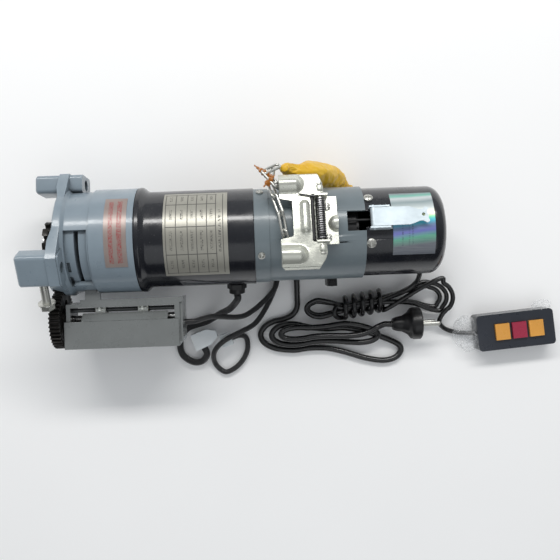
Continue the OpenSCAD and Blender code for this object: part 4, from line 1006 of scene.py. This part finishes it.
def settle(sheet, core, sides):
    """Runs the cloth for a few frames with its ends held, and keeps the last shape."""
    scene = bpy.context.scene
    held = sheet.vertex_groups.new(name="held")
    count = len(sheet.data.vertices)
    held.add(list(range(sides)), 1.0, "REPLACE")
    held.add(list(range(count - sides, count)), 1.0, "REPLACE")
    cloth = sheet.modifiers.new("cloth", "CLOTH")
    cloth.settings.vertex_group_mass = "held"
    cloth.settings.quality = 6
    cloth.settings.mass = 0.25
    cloth.settings.tension_stiffness = 40
    cloth.settings.compression_stiffness = 40
    cloth.settings.shear_stiffness = 12
    cloth.settings.bending_stiffness = 0.6
    cloth.settings.shrink_min = -0.07
    cloth.settings.use_pressure = True
    cloth.settings.uniform_pressure_force = 0.4
    cloth.collision_settings.distance_min = 0.006
    cloth.collision_settings.use_self_collision = False
    scene.frame_start = 1
    scene.frame_end = CLOTH_FRAMES
    cloth.point_cache.frame_end = CLOTH_FRAMES
    for frame_number in range(1, CLOTH_FRAMES + 1):
        scene.frame_set(frame_number)
    bpy.context.view_layer.objects.active = sheet
    with bpy.context.temp_override(object=sheet, active_object=sheet):
        bpy.ops.object.modifier_apply(modifier="cloth")
    bpy.data.objects.remove(core, do_unlink=True)
    scene.frame_set(1)


def tie_pieces():
    """Twisted amber film that ties the neck, with two loose tails."""
    tails = (((236, 41, 52), (232, 44, 54), (227, 48, 55), (221, 53, 55.5)),
             ((237, 38, 52), (233, 36, 55), (231, 33, 56), (229, 30.5, 56)),
             ((233, 33, 53), (236, 37.5, 57), (238, 40, 56.5), (240, 43, 54)))
    for index, tail in enumerate(tails):
        line = [GUIDE @ p for p in spline(tail, 8)]

        def size(share, length, index=index):
            return (2.9 - index * 0.3) * (1 - 0.8 * ease(share, 0.35, 1.0)) * (
                1 + 0.22 * math.sin(length * 1.7 + index))

        sweep(f"tie_film_{index}", line, size, "tie_film", HOUSING, sides=14,
              profile=lambda angle: 0.45 + 0.55 * abs(math.cos(angle)) ** 1.5)


# ---------------------------------------------------------------- clear wrap

def crumple(name, centre, size, turn, seed):
    """Crumpled hollow blob of film, flat underneath and turned by an angle in degrees."""
    shell = bmesh.new()
    bmesh.ops.create_icosphere(shell, subdivisions=5, radius=1.0)
    place = Matrix.Translation(centre) @ Matrix.Rotation(math.radians(turn), 4, "Z")
    verts = []
    for v in shell.verts:
        fold = 1 + 0.30 * (0.5 - abs(noise.noise(v.co * 1.9 + Vector((seed, 0, 0)))))
        fold -= 0.16 * abs(noise.noise(v.co * 5.0 + Vector((0, seed, 0))))
        out = Vector((v.co.x * size[0], v.co.y * size[1], v.co.z * size[2])) * fold
        out.z = max(out.z, -0.55 * size[2])
        verts.append(place @ out)
    faces = [tuple(v.index for v in f.verts) for f in shell.faces]
    shell.free()
    return new_object(name, verts, faces, "clear_film")


def film_pieces():
    """Clear wrap gathered at the cable end and at one corner of the push-button station."""
    floor = low("station_case")
    top = high("station_case")
    crumple("film_at_cable", (floor.x - 8, -112, floor.z + 9), (13.5, 18, 10), 8, 3.0)
    crumple("film_corner", (top.x - 12, top.y + 2.5, floor.z + 14), (9.5, 6, 7), 12, 7.0)


# ---------------------------------------------------------------- stage

ROOM_LIGHT = 0.46


def room_light():
    """Even light for matt surfaces, and a darker room with a lighter far side in reflections."""
    world = bpy.data.worlds.new("room")
    world.use_nodes = True
    tree = world.node_tree
    tree.nodes.clear()

    def add(kind, **settings):
        made = tree.nodes.new(kind)
        for key, value in settings.items():
            setattr(made, key, value)
        return made

    ray = add("ShaderNodeLightPath")
    split = add("ShaderNodeSeparateXYZ")
    tree.links.new(add("ShaderNodeTexCoord").outputs["Generated"], split.inputs[0])
    wall = add("ShaderNodeMapRange")
    for index, value in ((1, -0.8), (2, 0.9), (3, 0.06), (4, 0.62)):
        wall.inputs[index].default_value = value
    tree.links.new(split.outputs["Y"], wall.inputs[0])
    seen = add("ShaderNodeMix", data_type="FLOAT")
    seen.inputs[2].default_value = ROOM_LIGHT
    tree.links.new(ray.outputs["Is Glossy Ray"], seen.inputs[0])
    tree.links.new(wall.outputs[0], seen.inputs[3])
    back = add("ShaderNodeMix", data_type="FLOAT")
    back.inputs[3].default_value = 0.9
    tree.links.new(ray.outputs["Is Camera Ray"], back.inputs[0])
    tree.links.new(seen.outputs[0], back.inputs[2])
    sky = add("ShaderNodeBackground")
    sky.inputs[0].default_value = (0.94, 0.97, 1.0, 1)
    tree.links.new(back.outputs[0], sky.inputs[1])
    tree.links.new(sky.outputs[0], add("ShaderNodeOutputWorld").inputs[0])
    bpy.context.scene.world = world


def studio():
    """Pale floor, a long window light from the far side and a weak fill."""
    bpy.context.scene.view_settings.view_transform = "Standard"
    bpy.ops.mesh.primitive_plane_add(size=6, location=(0.25, -0.02, FLOOR_Z * MM - 0.0004))
    floor = bpy.context.object
    floor.name = "floor"
    g = Graph("pale_floor")
    g.set(Base_Color=g.mix(g.noise(6, 2, 0.5), (0.93, 0.93, 0.93), (0.96, 0.96, 0.96)), Roughness=0.8)
    g.shader.inputs["Specular IOR Level"].default_value = 0.1
    floor.data.materials.append(g.material)
    room_light()
    for name, place, size, power, colour in (
            ("key", (0.2, 0.94, 1.04), (1.7, 0.2), 15.5, (1.0, 0.99, 0.97)),
            ("fill", (0.5, -0.9, 1.2), (1.2, 1.2), 3.0, (0.95, 0.98, 1.0))):
        data = bpy.data.lights.new(name, "AREA")
        data.shape = "RECTANGLE"
        data.size, data.size_y = size
        data.energy = power
        data.color = colour
        lamp = bpy.data.objects.new(name, data)
        lamp.location = place
        aim = Vector((0.22, 0, 0)) - Vector(place)
        lamp.rotation_euler = aim.to_track_quat("-Z", "Y").to_euler()
        bpy.context.scene.collection.objects.link(lamp)


def aim_camera():
    """Straight above the motor, turned so that the far end points slightly up."""
    height = 0.680
    data = bpy.data.cameras.new("overhead")
    data.sensor_width = 36
    data.lens = 43.7
    data.shift_x = 0.036
    data.shift_y = -0.045
    camera = bpy.data.objects.new("overhead", data)
    camera.location = (0.2233, -0.019, height)
    camera.rotation_euler = (0, 0, math.radians(-2.1))
    bpy.context.scene.collection.objects.link(camera)
    bpy.context.scene.camera = camera


finish_castings()
finish_output_end()
finish_motor()
finish_brake()
finish_limit_switch()
finish_electrics()
finish_guide()
cover_labels()
cable_pieces()
hood_pieces()
bag_pieces()
film_pieces()
studio()
aim_camera()
